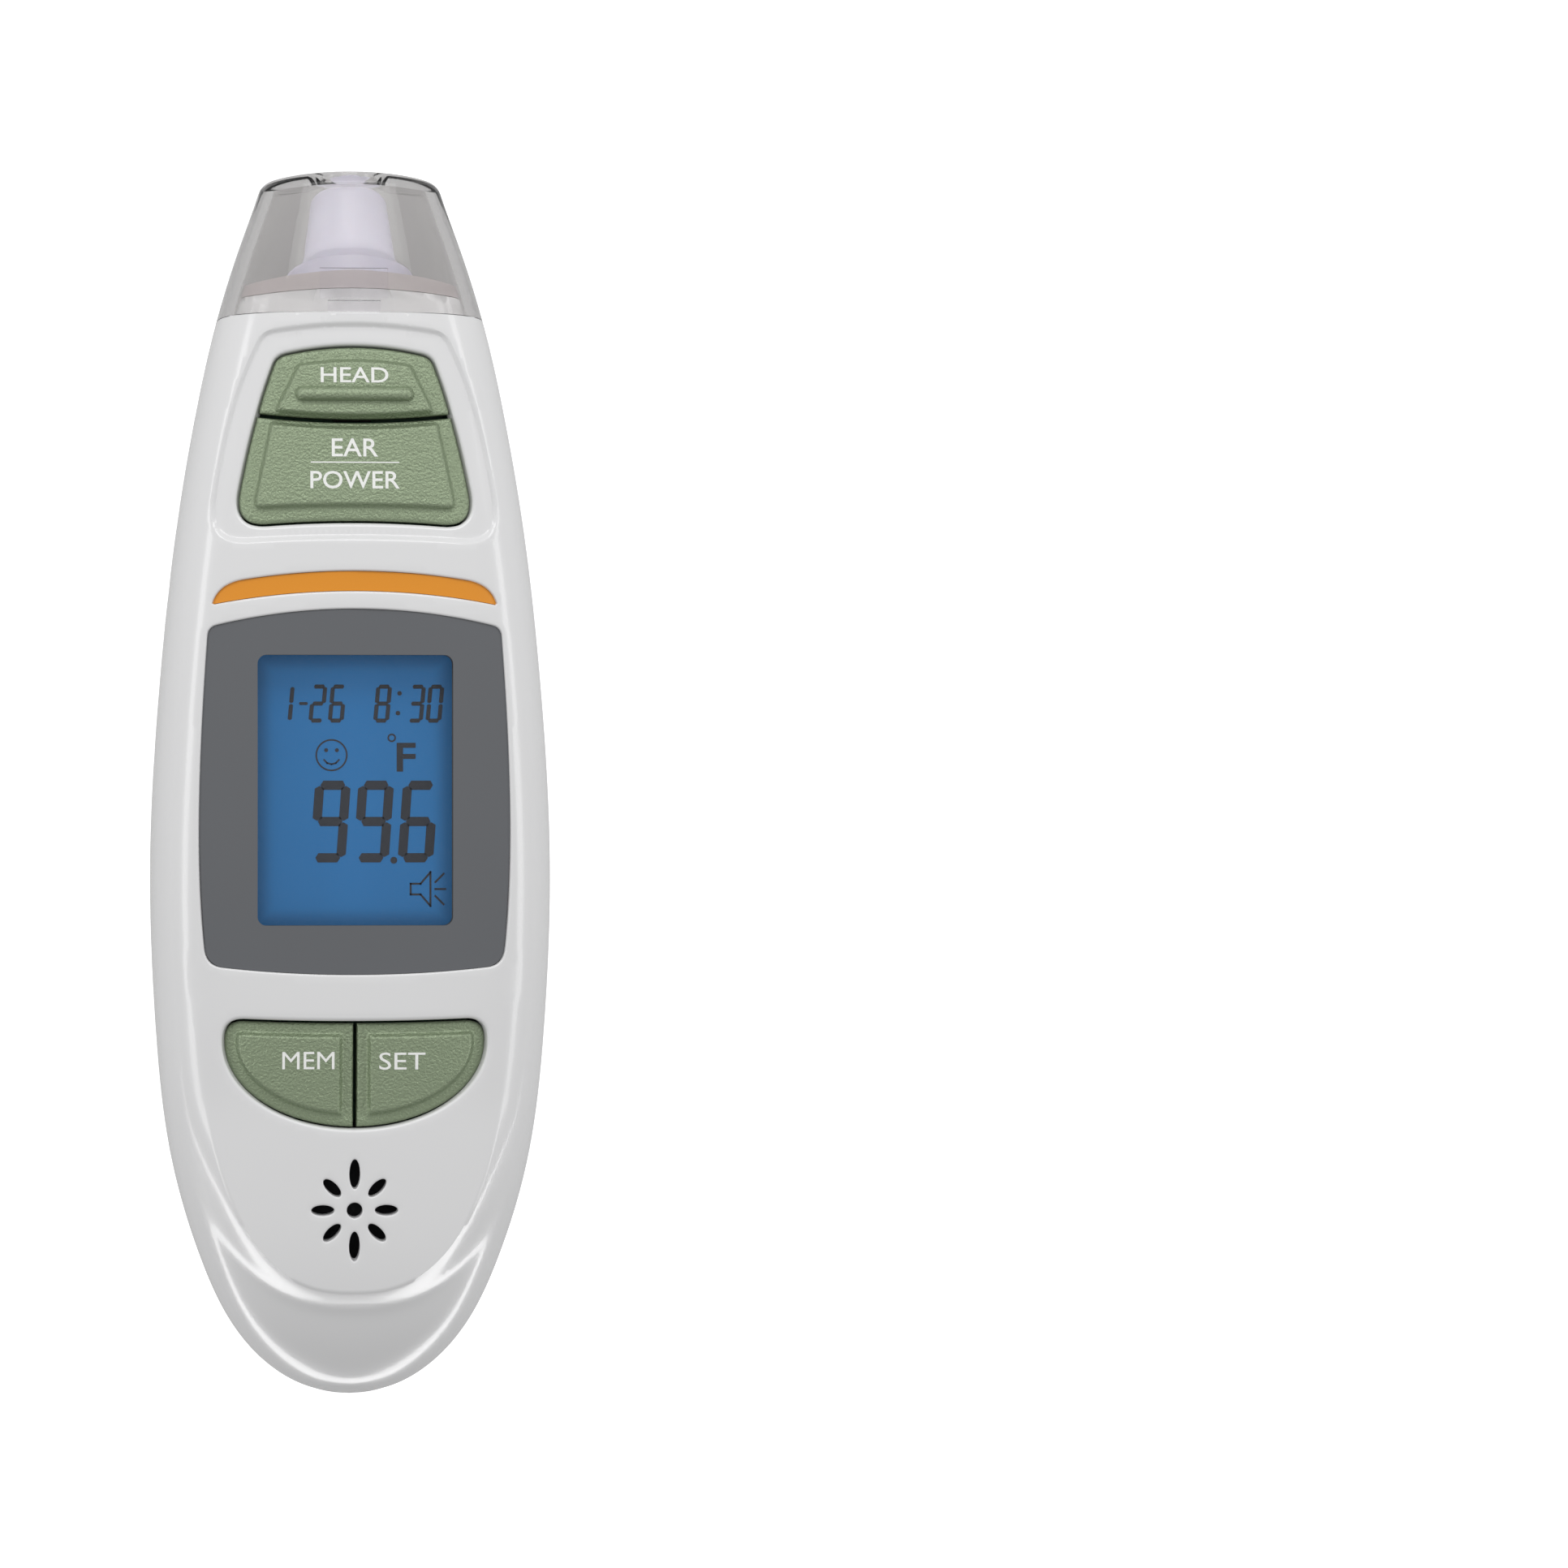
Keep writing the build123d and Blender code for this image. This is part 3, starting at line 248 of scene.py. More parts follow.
def lens_material():
    """Hard clear lens with a grey border printed on it: see-through inside the border."""
    material = finish_material(
        "printed lens", (0.115, 0.120, 0.130), 0.10, drift=0.10, drift_scale=25.0, bump=0.0,
        Coat_Weight=0.4, Coat_Roughness=0.03,
    )
    tree = material.node_tree
    mask = rounded_window_mask(
        tree, WINDOW_HALF_WIDTH, WINDOW_HALF_HEIGHT, WINDOW_MIDDLE_Y, WINDOW_CORNER
    )
    alpha = node_math(tree, "MAXIMUM", mask, CLEAR_AREA_ALPHA)
    tree.links.new(alpha, tree.nodes["Principled BSDF"].inputs["Alpha"])
    return material


WINDOW_HALF_WIDTH = 11.8 * MM
WINDOW_HALF_HEIGHT = 16.35 * MM
WINDOW_MIDDLE_Y = -0.75 * MM
WINDOW_CORNER = 1.1 * MM
CLEAR_AREA_ALPHA = 0.05
# Painted shade on the display: its colour darkens within this width of the window's edge, standing for
# the frame's inner shadow.
EDGE_PAINTED_SHADE_WIDTH = 2.4 * MM
EDGE_PAINTED_SHADE = 0.62


def display_material():
    """The lit panel: blue, with painted shade darkening it towards its edges, and giving light."""
    material = bpy.data.materials.new("lit display")
    material.use_nodes = True
    nodes, links = material.node_tree.nodes, material.node_tree.links
    shader = nodes["Principled BSDF"]
    place = nodes.new("ShaderNodeTexCoord")
    haze = nodes.new("ShaderNodeTexNoise")
    haze.inputs["Scale"].default_value = 45.0
    links.new(place.outputs["Object"], haze.inputs["Vector"])
    blend = nodes.new("ShaderNodeMix")
    blend.data_type = "RGBA"
    blend.inputs[6].default_value = (0.010, 0.100, 0.262, 1)
    blend.inputs[7].default_value = (0.016, 0.128, 0.312, 1)
    links.new(haze.outputs["Fac"], blend.inputs[0])
    split = nodes.new("ShaderNodeSeparateXYZ")
    links.new(place.outputs["Object"], split.inputs[0])
    tree = material.node_tree
    across = node_math(tree, "ABSOLUTE", split.outputs["X"])
    across = node_math(tree, "SUBTRACT", WINDOW_HALF_WIDTH, across)
    along = node_math(tree, "SUBTRACT", split.outputs["Y"], WINDOW_MIDDLE_Y)
    along = node_math(tree, "ABSOLUTE", along)
    along = node_math(tree, "SUBTRACT", WINDOW_HALF_HEIGHT, along)
    edge = node_math(tree, "MINIMUM", across, along)
    # painted shade: the panel's colour darkens towards the window's edge
    spread = nodes.new("ShaderNodeMapRange")
    spread.interpolation_type = "SMOOTHSTEP"
    links.new(edge, spread.inputs["Value"])
    spread.inputs["From Max"].default_value = EDGE_PAINTED_SHADE_WIDTH
    spread.inputs["To Min"].default_value = EDGE_PAINTED_SHADE
    lit = nodes.new("ShaderNodeVectorMath")
    lit.operation = "SCALE"
    links.new(blend.outputs[2], lit.inputs[0])
    links.new(spread.outputs[0], lit.inputs["Scale"])
    links.new(lit.outputs[0], shader.inputs["Base Color"])
    links.new(lit.outputs[0], shader.inputs["Emission Color"])
    shader.inputs["Emission Strength"].default_value = 0.55
    shader.inputs["Roughness"].default_value = 0.35
    return material


# The cap's grey tint is partly the thick clear walls' own tint and partly painted shade, standing in for
# the dark reflections in its walls.
CLEAR = clear_material("clear cap", (0.80, 0.79, 0.785), 0.03, 1.3, (0.93, 0.93, 0.935))
LATCH = clear_material("clear latch", (0.97, 0.965, 0.98), 0.06, 1.2, (0.97, 0.97, 0.975))
LENS = lens_material()
DISPLAY = display_material()

paint(WHITE, "front_shell", "back_shell", "battery_door")
paint(CLEAR, "clear_cap")
paint(NECK_PLATE_PAINTED_SHADE, "neck_plate")
paint(LILAC, "probe_cone")
paint(FILM, "probe_window")
paint(GOLD, "waveguide_tube")
paint(SILICON, "sensor_filter")
paint(STEEL, "sensor_can", "speaker_frame", "speaker_magnet", "crystal_can")
paint(STEEL, "case_screws", "board_screws")
paint(ALUMINIUM, "sensor_sleeve")
paint(BOARD, "sensor_board", "main_board")
paint(FLEX, "sensor_flex")
paint(LENS, "display_window")
paint(ORANGE, "accent_strip")
paint(DISPLAY, "lcd_glass")
paint(GUIDE, "backlight")
paint(ZEBRA, "zebra_strip")
paint(BLACK, "lcd_frame", "processor_chip", "amplifier_chip", "memory_chip", "switch_housings")
paint(TAN, "small_components")
paint(NATURAL, "head_switch_plunger", "ear_switch_plunger", "mem_switch_plunger", "set_switch_plunger")
paint(SAGE, "head_button", "ear_power_button", "mem_button", "set_button")
paint(PAPER, "speaker_cone")
paint(FOAM, "speaker_gasket")
paint(JACKET, "battery_left", "battery_right")
paint(NICKEL, "battery_spring_left", "battery_spring_right", "contact_plate_left", "contact_plate_right")


# ---------------------------------------------------------------- modelling helpers


def fresh_selection():
    bpy.ops.object.select_all(action="DESELECT")


def settle(piece):
    """Puts a piece's place into its mesh, so its object sits at the origin."""
    fresh_selection()
    piece.select_set(True)
    bpy.context.view_layer.objects.active = piece
    bpy.ops.object.transform_apply(location=True, rotation=True, scale=True)


def join(pieces, name):
    """One piece from several."""
    fresh_selection()
    for piece in pieces:
        piece.select_set(True)
    bpy.context.view_layer.objects.active = pieces[0]
    if len(pieces) > 1:
        bpy.ops.object.join()
    joined = bpy.context.object
    joined.name = name
    settle(joined)
    return joined


def open_for_editing(piece):
    """Makes a piece the only one selected and enters edit mode on all of it."""
    fresh_selection()
    piece.select_set(True)
    bpy.context.view_layer.objects.active = piece
    bpy.ops.object.mode_set(mode="EDIT")
    bpy.ops.mesh.select_all(action="SELECT")


def top_of(piece):
    """A tree of a piece's faces, for finding heights."""
    mesh = piece.data
    corners = [vertex.co.copy() for vertex in mesh.vertices]
    return BVHTree.FromPolygons(corners, [list(face.vertices) for face in mesh.polygons])


def drape(piece, tree, lift):
    """Lays a flat piece on the surface below it, lift above it, keeping its own thickness."""
    for vertex in piece.data.vertices:
        eye = Vector((vertex.co.x, vertex.co.y, 0.1))
        hit = tree.ray_cast(eye, Vector((0, 0, -1)))[0]
        vertex.co.z += hit.z + lift


def fit(piece, left, right, low, high):
    """Scales and moves a flat piece to fill a rectangle on the face, in mm."""
    across = [vertex.co.x for vertex in piece.data.vertices]
    along = [vertex.co.y for vertex in piece.data.vertices]
    wide = (right - left) * MM / (max(across) - min(across))
    tall = (high - low) * MM / (max(along) - min(along))
    for vertex in piece.data.vertices:
        vertex.co.x = left * MM + (vertex.co.x - min(across)) * wide
        vertex.co.y = low * MM + (vertex.co.y - min(along)) * tall


def finish_piece(piece, material, body, name):
    piece.name = name
    piece.data.name = name
    piece.data.materials.clear()
    piece.data.materials.append(material)
    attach(piece, body)


# ---------------------------------------------------------------- form of the case, in mm

# Cross-sections along the case: y, half width, front height, squareness of the front.
STATIONS = np.array(
    [
        (66.0, 13.35, 24.1, 2.9),
        (57.0, 16.15, 26.2, 3.1),
        (45.0, 18.85, 27.8, 3.4),
        (30.0, 21.3, 29.2, 3.8),
        (12.0, 23.2, 30.0, 4.0),
        (-10.0, 24.35, 30.0, 4.0),
        (-30.0, 23.65, 29.2, 3.8),
        (-46.0, 21.7, 27.5, 3.4),
        (-58.0, 18.2, 25.4, 2.9),
        (-66.5, 14.05, 22.4, 2.5),
        (-71.6, 9.2, 18.9, 2.2),
        (-73.9, 4.75, 16.3, 2.0),
        (-74.7, 0.0, 13.3, 2.0),
    ]
)[::-1]
PARTING = 14.0  # height of the seam between the two halves
SHELL_FOOT = 14.05
WALL = 1.8
JUNCTION_Y = 56.3  # where the cap meets the case, on the seam
JUNCTION_LEAN = math.radians(4)
PLATEAU = np.array([(-66.0, 25.0), (-60.0, 26.4), (-50.0, 27.7), (-38.0, 28.4), (-26.0, 28.3)])
PLATEAU_HALF = 23.0
PLATEAU_SQUARE = 3.6
BROW_HALF = 19.0  # the crescent crease below the sound slots
BROW_TOP = -18.0
BROW_REACH = 43.6
BROW_POWERS = (2.5, 2.6)
BROW_RAMP = 3.1
BROW_BLEND = 0.35  # softens where the raised front grows out of the sides
DISH_DEPTH = 0.6  # the sunk surround of the upper keys
DISH_RAMP = 0.8
UNFOLD = 24.0  # mm of working plane for each radian round the front


def natural_spline(knots, values):
    """A smooth curve through values at rising knots, straight at both ends."""
    gaps = np.diff(knots)
    size = len(knots)
    system = np.eye(size)
    right = np.zeros(size)
    for row in range(1, size - 1):
        system[row, row - 1] = gaps[row - 1]
        system[row, row] = 2 * (gaps[row - 1] + gaps[row])
        system[row, row + 1] = gaps[row]
        rise = np.diff(values[row - 1 : row + 2]) / gaps[row - 1 : row + 1]
        right[row] = 6 * (rise[1] - rise[0])
    bend = np.linalg.solve(system, right)

    def curve(at):
        cell = np.clip(np.searchsorted(knots, at) - 1, 0, size - 2)
        gap = gaps[cell]
        before = (at - knots[cell]) / gap
        after = 1 - before
        pull = (after**3 - after) * bend[cell] + (before**3 - before) * bend[cell + 1]
        return after * values[cell] + before * values[cell + 1] + gap**2 / 6 * pull

    return curve


steps = np.hypot(np.diff(STATIONS[:, 0]), np.diff(STATIONS[:, 1]))
TRAVEL = np.concatenate([[0], np.cumsum(steps)])  # distance along the side from the nose
along_y, along_half, along_front, along_square = (
    natural_spline(TRAVEL, STATIONS[:, column]) for column in range(4)
)
FINE_TRAVEL = np.linspace(0, TRAVEL[-1], 3000)
FINE_Y = np.maximum.accumulate(along_y(FINE_TRAVEL))
plateau_front = natural_spline(PLATEAU[:, 0], PLATEAU[:, 1])


def travel_at(y):
    return np.interp(y, FINE_Y, FINE_TRAVEL)


def form_height(x, y):
    """Height of the plain case skin over a point of its plan."""
    travel = travel_at(y)
    square = along_square(travel)
    share = np.clip(np.abs(x) / np.maximum(along_half(travel), 1e-6), 0, 1)
    return PARTING + (along_front(travel) - PARTING) * (1 - share**square) ** (1 / square)


def ease(value):
    value = np.clip(value, 0, 1)
    return value * value * (3 - 2 * value)


def brow_distance(x, y):
    """Distance inside the crescent crease: positive towards the buttons."""
    first, second = BROW_POWERS
    across = np.abs(x) / BROW_HALF
    along = np.maximum(BROW_TOP - y, 0) / BROW_REACH
    level = across**first + along**second
    slope_x = first * across ** (first - 1) / BROW_HALF
    slope_y = second * along ** (second - 1) / BROW_REACH
    return (1 - level) / np.maximum(np.hypot(slope_x, slope_y), 0.02)


def brow_lift(x, y, base):
    """Extra height of the raised front inside the crease, sweeping down outside it."""
    share = np.clip(np.abs(x) / PLATEAU_HALF, 0, 1)
    reach = plateau_front(np.clip(y, -66, -26)) - PARTING
    level = PARTING + reach * (1 - share**PLATEAU_SQUARE) ** (1 / PLATEAU_SQUARE)
    share_left = np.clip(1 + np.minimum(brow_distance(x, y), 0) / BROW_RAMP, 0, 1)
    fade = np.where(share_left > 0.5, share_left - 0.25, share_left**2) / 0.75
    rise = level - base
    smooth_rise = (rise + np.hypot(rise, BROW_BLEND)) / 2
    return smooth_rise * fade * ease((BROW_TOP - y) / 12)


# ---------------------------------------------------------------- outlines on the front, in mm


def bow(start, via, end, count=60):
    """A shallow arc from start to end through via."""
    start, via, end = np.array(start), np.array(via), np.array(end)
    bend = 2 * via - (start + end) / 2
    share = np.linspace(0, 1, count)[:, None]
    return (1 - share) ** 2 * start + 2 * share * (1 - share) * bend + share**2 * end


def path_lengths(points):
    return np.concatenate([[0], np.cumsum(np.hypot(*np.diff(points, axis=0).T))])


def trimmed(points, start_cut, end_cut):
    lengths = path_lengths(points)
    inner = (lengths > start_cut) & (lengths < lengths[-1] - end_cut)
    ends = [
        [np.interp(cut, lengths, points[:, axis]) for axis in (0, 1)]
        for cut in (start_cut, lengths[-1] - end_cut)
    ]
    return np.vstack([ends[0], points[inner], ends[1]])


def rounded_loop(curves, radii, spacing=0.4):
    """A closed outline of curves with its corners rounded; radii[i] is where curve i ends."""
    cuts = []
    for index, curve in enumerate(curves):
        following = curves[(index + 1) % len(curves)]
        back = curve[-4] - curve[-1]
        onward = following[3] - following[0]
        cosine = back @ onward / (np.linalg.norm(back) * np.linalg.norm(onward))
        cuts.append(radii[index] / math.tan(math.acos(max(-1, min(1, cosine))) / 2))
    points = []
    for index, curve in enumerate(curves):
        body = trimmed(curve, cuts[index - 1], cuts[index])
        following = curves[(index + 1) % len(curves)]
        target = trimmed(following, cuts[index], 0)[0]
        points.append(body)
        if cuts[index] > 0.01:
            points.append(bow(body[-1], 0.25 * body[-1] + 0.5 * curve[-1] + 0.25 * target, target, 12))
    loop = np.vstack(points)
    closed = np.vstack([loop, loop[:1]])
    lengths = path_lengths(closed)
    at = np.linspace(0, lengths[-1], max(12, round(lengths[-1] / spacing)), endpoint=False)
    return np.column_stack([np.interp(at, lengths, closed[:, axis]) for axis in (0, 1)])


def let_out(loop, margin):
    """The outline moved outwards by a margin."""
    ahead = np.roll(loop, -1, axis=0) - np.roll(loop, 1, axis=0)
    turn = np.sum(loop[:, 0] * np.roll(loop[:, 1], -1) - np.roll(loop[:, 0], -1) * loop[:, 1])
    outward = np.column_stack([ahead[:, 1], -ahead[:, 0]]) * math.copysign(1, turn)
    return loop + margin * outward / np.linalg.norm(outward, axis=1)[:, None]


def distance_outside(points, loop):
    """Signed distance of each point from a closed outline: negative inside it."""
    start = loop
    end = np.roll(loop, -1, axis=0)
    run = end - start
    nearest = np.full(len(points), 1e9)
    inside = np.zeros(len(points), bool)
    for first, step, last in zip(start, run, end):
        offset = points - first
        share = np.clip(offset @ step / (step @ step), 0, 1)
        nearest = np.minimum(nearest, np.hypot(*(offset - share[:, None] * step).T))
        crossing = (first[1] > points[:, 1]) != (last[1] > points[:, 1])
        if first[1] != last[1]:
            where = first[0] + (points[:, 1] - first[1]) * step[0] / step[1]
            inside ^= crossing & (points[:, 0] < where)
    return np.where(inside, -nearest, nearest)


def ellipse(centre, along, across, turn, count=28):
    angle = np.linspace(0, 2 * math.pi, count, endpoint=False)
    x = along * np.cos(angle)
    y = across * np.sin(angle)
    cosine, sine = math.cos(turn), math.sin(turn)
    return np.column_stack([centre[0] + x * cosine - y * sine, centre[1] + x * sine + y * cosine])


def four_sided(top, crown, side, foot, sag, radii, spacing=0.4):
    """A shape even about the middle, from its right-hand corners, a point on its side and the
    heights that its upper and lower edges have on the middle line."""

    def left(point):
        return (-point[0], point[1])

    curves = [
        bow(left(top), (0, crown), top),
        bow(top, side, foot),
        bow(foot, (0, sag), left(foot)),
        bow(left(foot), left(side), left(top)),
    ]
    return rounded_loop(curves, radii, spacing)


UPPER_KEYS = four_sided(
    (9.3, 51.7), 52.9, (12.2, 42.6), (14.6, 31.0), 31.8, (2.0, 3.2, 3.2, 2.0)
)
half_turn = np.linspace(math.pi, 2 * math.pi, 120)
LOWER_KEYS = rounded_loop(
    [
        bow((15.75, -28.5), (0, -28.9), (-15.75, -28.5)),
        bow((-15.75, -28.5), (-15.75, -29.85), (-15.75, -31.2)),
        np.column_stack([15.75 * np.cos(half_turn), -31.2 + 10.3 * np.sin(half_turn)]),
        bow((15.75, -31.2), (15.75, -29.85), (15.75, -28.5)),
    ],
    (2.3, 0, 0, 2.3),
)
STRIP = four_sided(
    (13.6, 24.6), 25.7, (16.0, 23.6), (17.2, 21.7), 23.35, (0, 0.1, 0.1, 0), 0.3
)
LENS_EDGE = four_sided(
    (17.7, 18.9), 21.1, (18.8, -5.0), (17.9, -21.9), -23.0, (1.4, 2.4, 2.4, 1.4)
)
DISH = four_sided(
    (11.2, 55.0), 56.1, (15.6, 43.5), (18.0, 28.6), 29.4, (3.0, 4.5, 4.5, 3.0)
)
SOUND_Y = -51.6


def sound_slots():
    """A round hole with eight slots about it, the upper and lower ones longer."""
    slots = [ellipse((0, SOUND_Y), 0.95, 0.95, 0)]
    for turn in range(8):
        angle = math.radians(90 + 45 * turn)
        upright = turn % 4 == 0
        reach = 4.4 if upright else 3.85
        length = 3.6 if upright else 2.8
        centre = (reach * math.cos(angle), SOUND_Y + reach * math.sin(angle))
        slots.append(ellipse(centre, length / 2, 0.65, angle))
    return slots


KEY_GAP = 0.25
OPENINGS = [(let_out(UPPER_KEYS, KEY_GAP), 0.5), (let_out(LOWER_KEYS, KEY_GAP), 0.5)]
OPENINGS += [(let_out(STRIP, 0.05), 0.3), (let_out(LENS_EDGE, 0.05), 0.3)]
OPENINGS += [(slot, 0.25) for slot in sound_slots()]


def dish_drop(points):
    return DISH_DEPTH * ease(-distance_outside(points, DISH) / DISH_RAMP)


def rim_drop(distance, radius):
    """How far a rounded rim falls away at a distance from its edge."""
    short = np.clip(radius - distance, 0, radius)
    return radius - np.sqrt(radius**2 - short**2)


def front_height(points):
    """Height of the moulded front at points of its plan."""
    base = form_height(points[:, 0], points[:, 1])
    return base + brow_lift(points[:, 0], points[:, 1], base) - dish_drop(points)


# ---------------------------------------------------------------- moulded front


def unfold(points):
    """Plan points to the working plane, where the front is opened out flat."""
    travel = travel_at(points[:, 1])
    square = along_square(travel)
    share = np.clip(points[:, 0] / np.maximum(along_half(travel), 1e-6), -1, 1)
    upright = (1 - np.abs(share) ** square) ** (1 / square)
    return np.column_stack([np.arctan2(share, upright) * UNFOLD, travel])


def fold(flat):
    """Working-plane points to the plain case skin."""
    turn = flat[:, 0] / UNFOLD
    travel = flat[:, 1]
    square = along_square(travel)
    sine, cosine = np.sin(turn), np.maximum(np.cos(turn), 0)
    radius = (np.abs(sine) ** square + cosine**square) ** (-1 / square)
    x = along_half(travel) * radius * sine
    z = PARTING + (along_front(travel) - PARTING) * radius * cosine
    return np.column_stack([x, along_y(travel), z])


RIM_STEPS = (0.0, 0.12, 0.32, 0.62, 1.0)


def rim_rings(loop, radius):
    return [let_out(loop, radius * step) for step in RIM_STEPS]


def mesh_piece(points, faces, name):
    """A new mesh object from points in mm."""
    mesh = bpy.data.meshes.new(name)
    mesh.from_pydata([tuple(point * MM) for point in points], [], [tuple(face) for face in faces])
    mesh.validate()
    piece = bpy.data.objects.new(name, mesh)
    bpy.context.scene.collection.objects.link(piece)
    return piece


def triangles_over(flat, edges):
    """Triangles over points of a plane that keep the given edges."""
    corners = [Vector((float(x), float(y))) for x, y in flat]
    result = delaunay_2d_cdt(corners, edges, [], 0, 1e-5)
    return np.array([tuple(corner) for corner in result[0]]), np.array([list(f) for f in result[2]])


def ring_edges(start, count):
    return [(start + index, start + (index + 1) % count) for index in range(count)]


def add_ring(rows, edges, flat_ring, closed=True):
    """Appends a ring of working-plane points, kept as edges."""
    start = sum(len(row) for row in rows)
    rows.append(flat_ring)
    ring = ring_edges(start, len(flat_ring))
    edges.extend(ring if closed else ring[:-1])


def brow_line(offset):
    """The crescent crease, moved inwards by an offset."""
    angle = np.linspace(0.12, math.pi - 0.12, 150)
    first, second = BROW_POWERS
    cosine, sine = np.cos(angle), np.sin(angle)
    x = (BROW_HALF - offset) * np.sign(cosine) * np.abs(cosine) ** (2 / first)
    y = BROW_TOP - (BROW_REACH - offset) * sine ** (2 / second)
    return np.column_stack([x, y])


def round_rims(front):
    """Rounds the outer edge of every opening; the wall's inner side stays as it is."""
    places = np.array([vertex.co for vertex in front.data.vertices]) / MM
    plan = places[:, :2]
    outer = places[:, 2] > front_height(plan) - 0.5
    for loop, radius in OPENINGS:
        box_low, box_high = loop.min(axis=0) - radius, loop.max(axis=0) + radius
        near = outer & np.all((plan > box_low) & (plan < box_high), axis=1)
        chosen = np.flatnonzero(near)
        away = distance_outside(plan[chosen], loop)
        drop = rim_drop(np.clip(away, 0, radius), radius)
        for index, fall in zip(chosen, drop):
            front.data.vertices[index].co.z -= fall * MM


def moulded_front():
    """The front half of the case: one skin with its openings, dish and crease, then its wall."""
    rows, edges = [], []
    for loop, radius in OPENINGS:
        for ring in rim_rings(loop, radius):
            add_ring(rows, edges, unfold(ring))
    for offset in (-0.7, -0.3, 0.0, 0.3):
        add_ring(rows, edges, unfold(brow_line(offset)), closed=False)
    for offset in (0.05, -0.15, -0.4, -0.65, -0.85):
        rows.append(unfold(let_out(DISH, offset)))
    edge_turn = math.pi / 2 * UNFOLD
    grid_x, grid_y = np.meshgrid(
        np.linspace(-edge_turn, edge_turn, 89), np.arange(0.0, travel_at(58.5), 0.75)
    )
    grid = np.column_stack([grid_x.ravel(), grid_y.ravel()])
    skin = fold(grid)[:, :2]
    keep = np.ones(len(grid), bool)
    for loop, radius in OPENINGS:
        keep &= distance_outside(skin, loop) > radius + 0.3
    keep &= np.abs(distance_outside(skin, DISH)) > 0.2
    brow = brow_distance(skin[:, 0], skin[:, 1])
    keep &= (brow < -0.95) | (brow > 0.55) | (skin[:, 1] > BROW_TOP - 2)
    rows.append(grid[keep])
    flat, faces = triangles_over(np.vstack(rows), edges)
    middles = fold(flat[faces].mean(axis=1))[:, :2]
    solid = np.ones(len(faces), bool)
    for loop, radius in OPENINGS:
        solid &= distance_outside(middles, loop) > 0
    points = fold(flat)
    plan = points[:, :2]
    points[:, 2] += brow_lift(plan[:, 0], plan[:, 1], points[:, 2]) - dish_drop(plan)
    points[:, 2] = np.maximum(points[:, 2], SHELL_FOOT)
    front = mesh_piece(points, faces[solid], "front_moulding")
    open_for_editing(front)
    bpy.ops.mesh.remove_doubles(threshold=0.02 * MM)
    bpy.ops.mesh.select_all(action="SELECT")
    bpy.ops.mesh.bisect(
        plane_co=(0, JUNCTION_Y * MM, PARTING * MM),
        plane_no=(0, math.cos(JUNCTION_LEAN), -math.sin(JUNCTION_LEAN)),
        clear_outer=True,
    )
    bpy.ops.mesh.select_all(action="SELECT")
    bpy.ops.mesh.delete_loose()
    bpy.ops.mesh.select_all(action="SELECT")
    bpy.ops.mesh.normals_make_consistent(inside=False)
    bpy.ops.object.mode_set(mode="OBJECT")
    wall = front.modifiers.new("wall", "SOLIDIFY")
    wall.thickness = WALL * MM
    wall.offset = -1
    bpy.ops.object.modifier_apply(modifier=wall.name)
    round_rims(front)
    bpy.ops.object.shade_smooth_by_angle(angle=math.radians(34))
    finish_piece(front, WHITE, "case", "front_moulding")
    return front


def neck_rim():
    """The short neck that the cap slides over, cut from the case half that carries it."""
    source = NODES["front_shell"]
    neck = bpy.data.objects.new("neck_rim", source.data.copy())
    bpy.context.scene.collection.objects.link(neck)
    open_for_editing(neck)
    bpy.ops.mesh.remove_doubles(threshold=0.0005 * MM)
    bpy.ops.mesh.select_all(action="SELECT")
    bpy.ops.mesh.bisect(
        plane_co=(0, (JUNCTION_Y - 0.4) * MM, PARTING * MM),
        plane_no=(0, math.cos(JUNCTION_LEAN), -math.sin(JUNCTION_LEAN)),
        clear_inner=True,
        use_fill=True,
    )
    bpy.ops.object.mode_set(mode="OBJECT")
    bpy.ops.object.shade_smooth_by_angle(angle=math.radians(30))
    finish_piece(neck, WHITE, "case", "neck_rim")


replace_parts(moulded_front(), "front_shell")
neck_rim()


def cap_latch():
    """The cap's thumb tongue and the catch below it, standing a little off the cap's face."""
    for name, wide, low, high, thick in (
        ("cap_tongue", 8.3, 58.9, 62.6, 0.35),
        ("cap_catch", 6.4, 57.2, 58.6, 0.6),
    ):
        fresh_selection()
        bpy.ops.mesh.primitive_grid_add(x_subdivisions=24, y_subdivisions=10, size=1.0)
        plate = bpy.context.object
        fit(plate, -wide / 2, wide / 2, low, high)
        for vertex in plate.data.vertices:
            spot = np.array([vertex.co.x, vertex.co.y]) / MM
            vertex.co.z = (form_height(spot[0], spot[1]) + thick / 2 - 0.1) * MM
        body = plate.modifiers.new("body", "SOLIDIFY")
        body.thickness = thick * MM
        body.offset = 0
        bpy.ops.object.modifier_apply(modifier=body.name)
        edge = plate.modifiers.new("edge", "BEVEL")
        edge.width = 0.12 * MM
        edge.segments = 2
        edge.limit_method = "ANGLE"
        edge.angle_limit = math.radians(50)
        bpy.ops.object.modifier_apply(modifier=edge.name)
        bpy.ops.object.shade_smooth_by_angle(angle=math.radians(35))
        finish_piece(plate, LATCH, "cap", name)


cap_latch()


# ---------------------------------------------------------------- keys, in mm

KEY_INSET = 0.95  # a key's rim lies this far below the case skin
PAD_RISE = 0.8  # its textured pad stands this far above the rim
PAD_RAMP = 0.65
KEY_ROUND = 0.45
KEY_FOOT = 24.2
SPLIT_ENDS = 45.9  # the curved split between the two upper keys
SPLIT_MIDDLE = 43.9
RIDGE_HALF = 6.3  # the raised touch ridge on the upper key
RIDGE_Y = 47.25
RIDGE_RADIUS = 0.85
RIDGE_RISE = 0.95


def split_height(x, shift):
    return SPLIT_MIDDLE + shift + (SPLIT_ENDS - SPLIT_MIDDLE) * (x / 20) ** 2


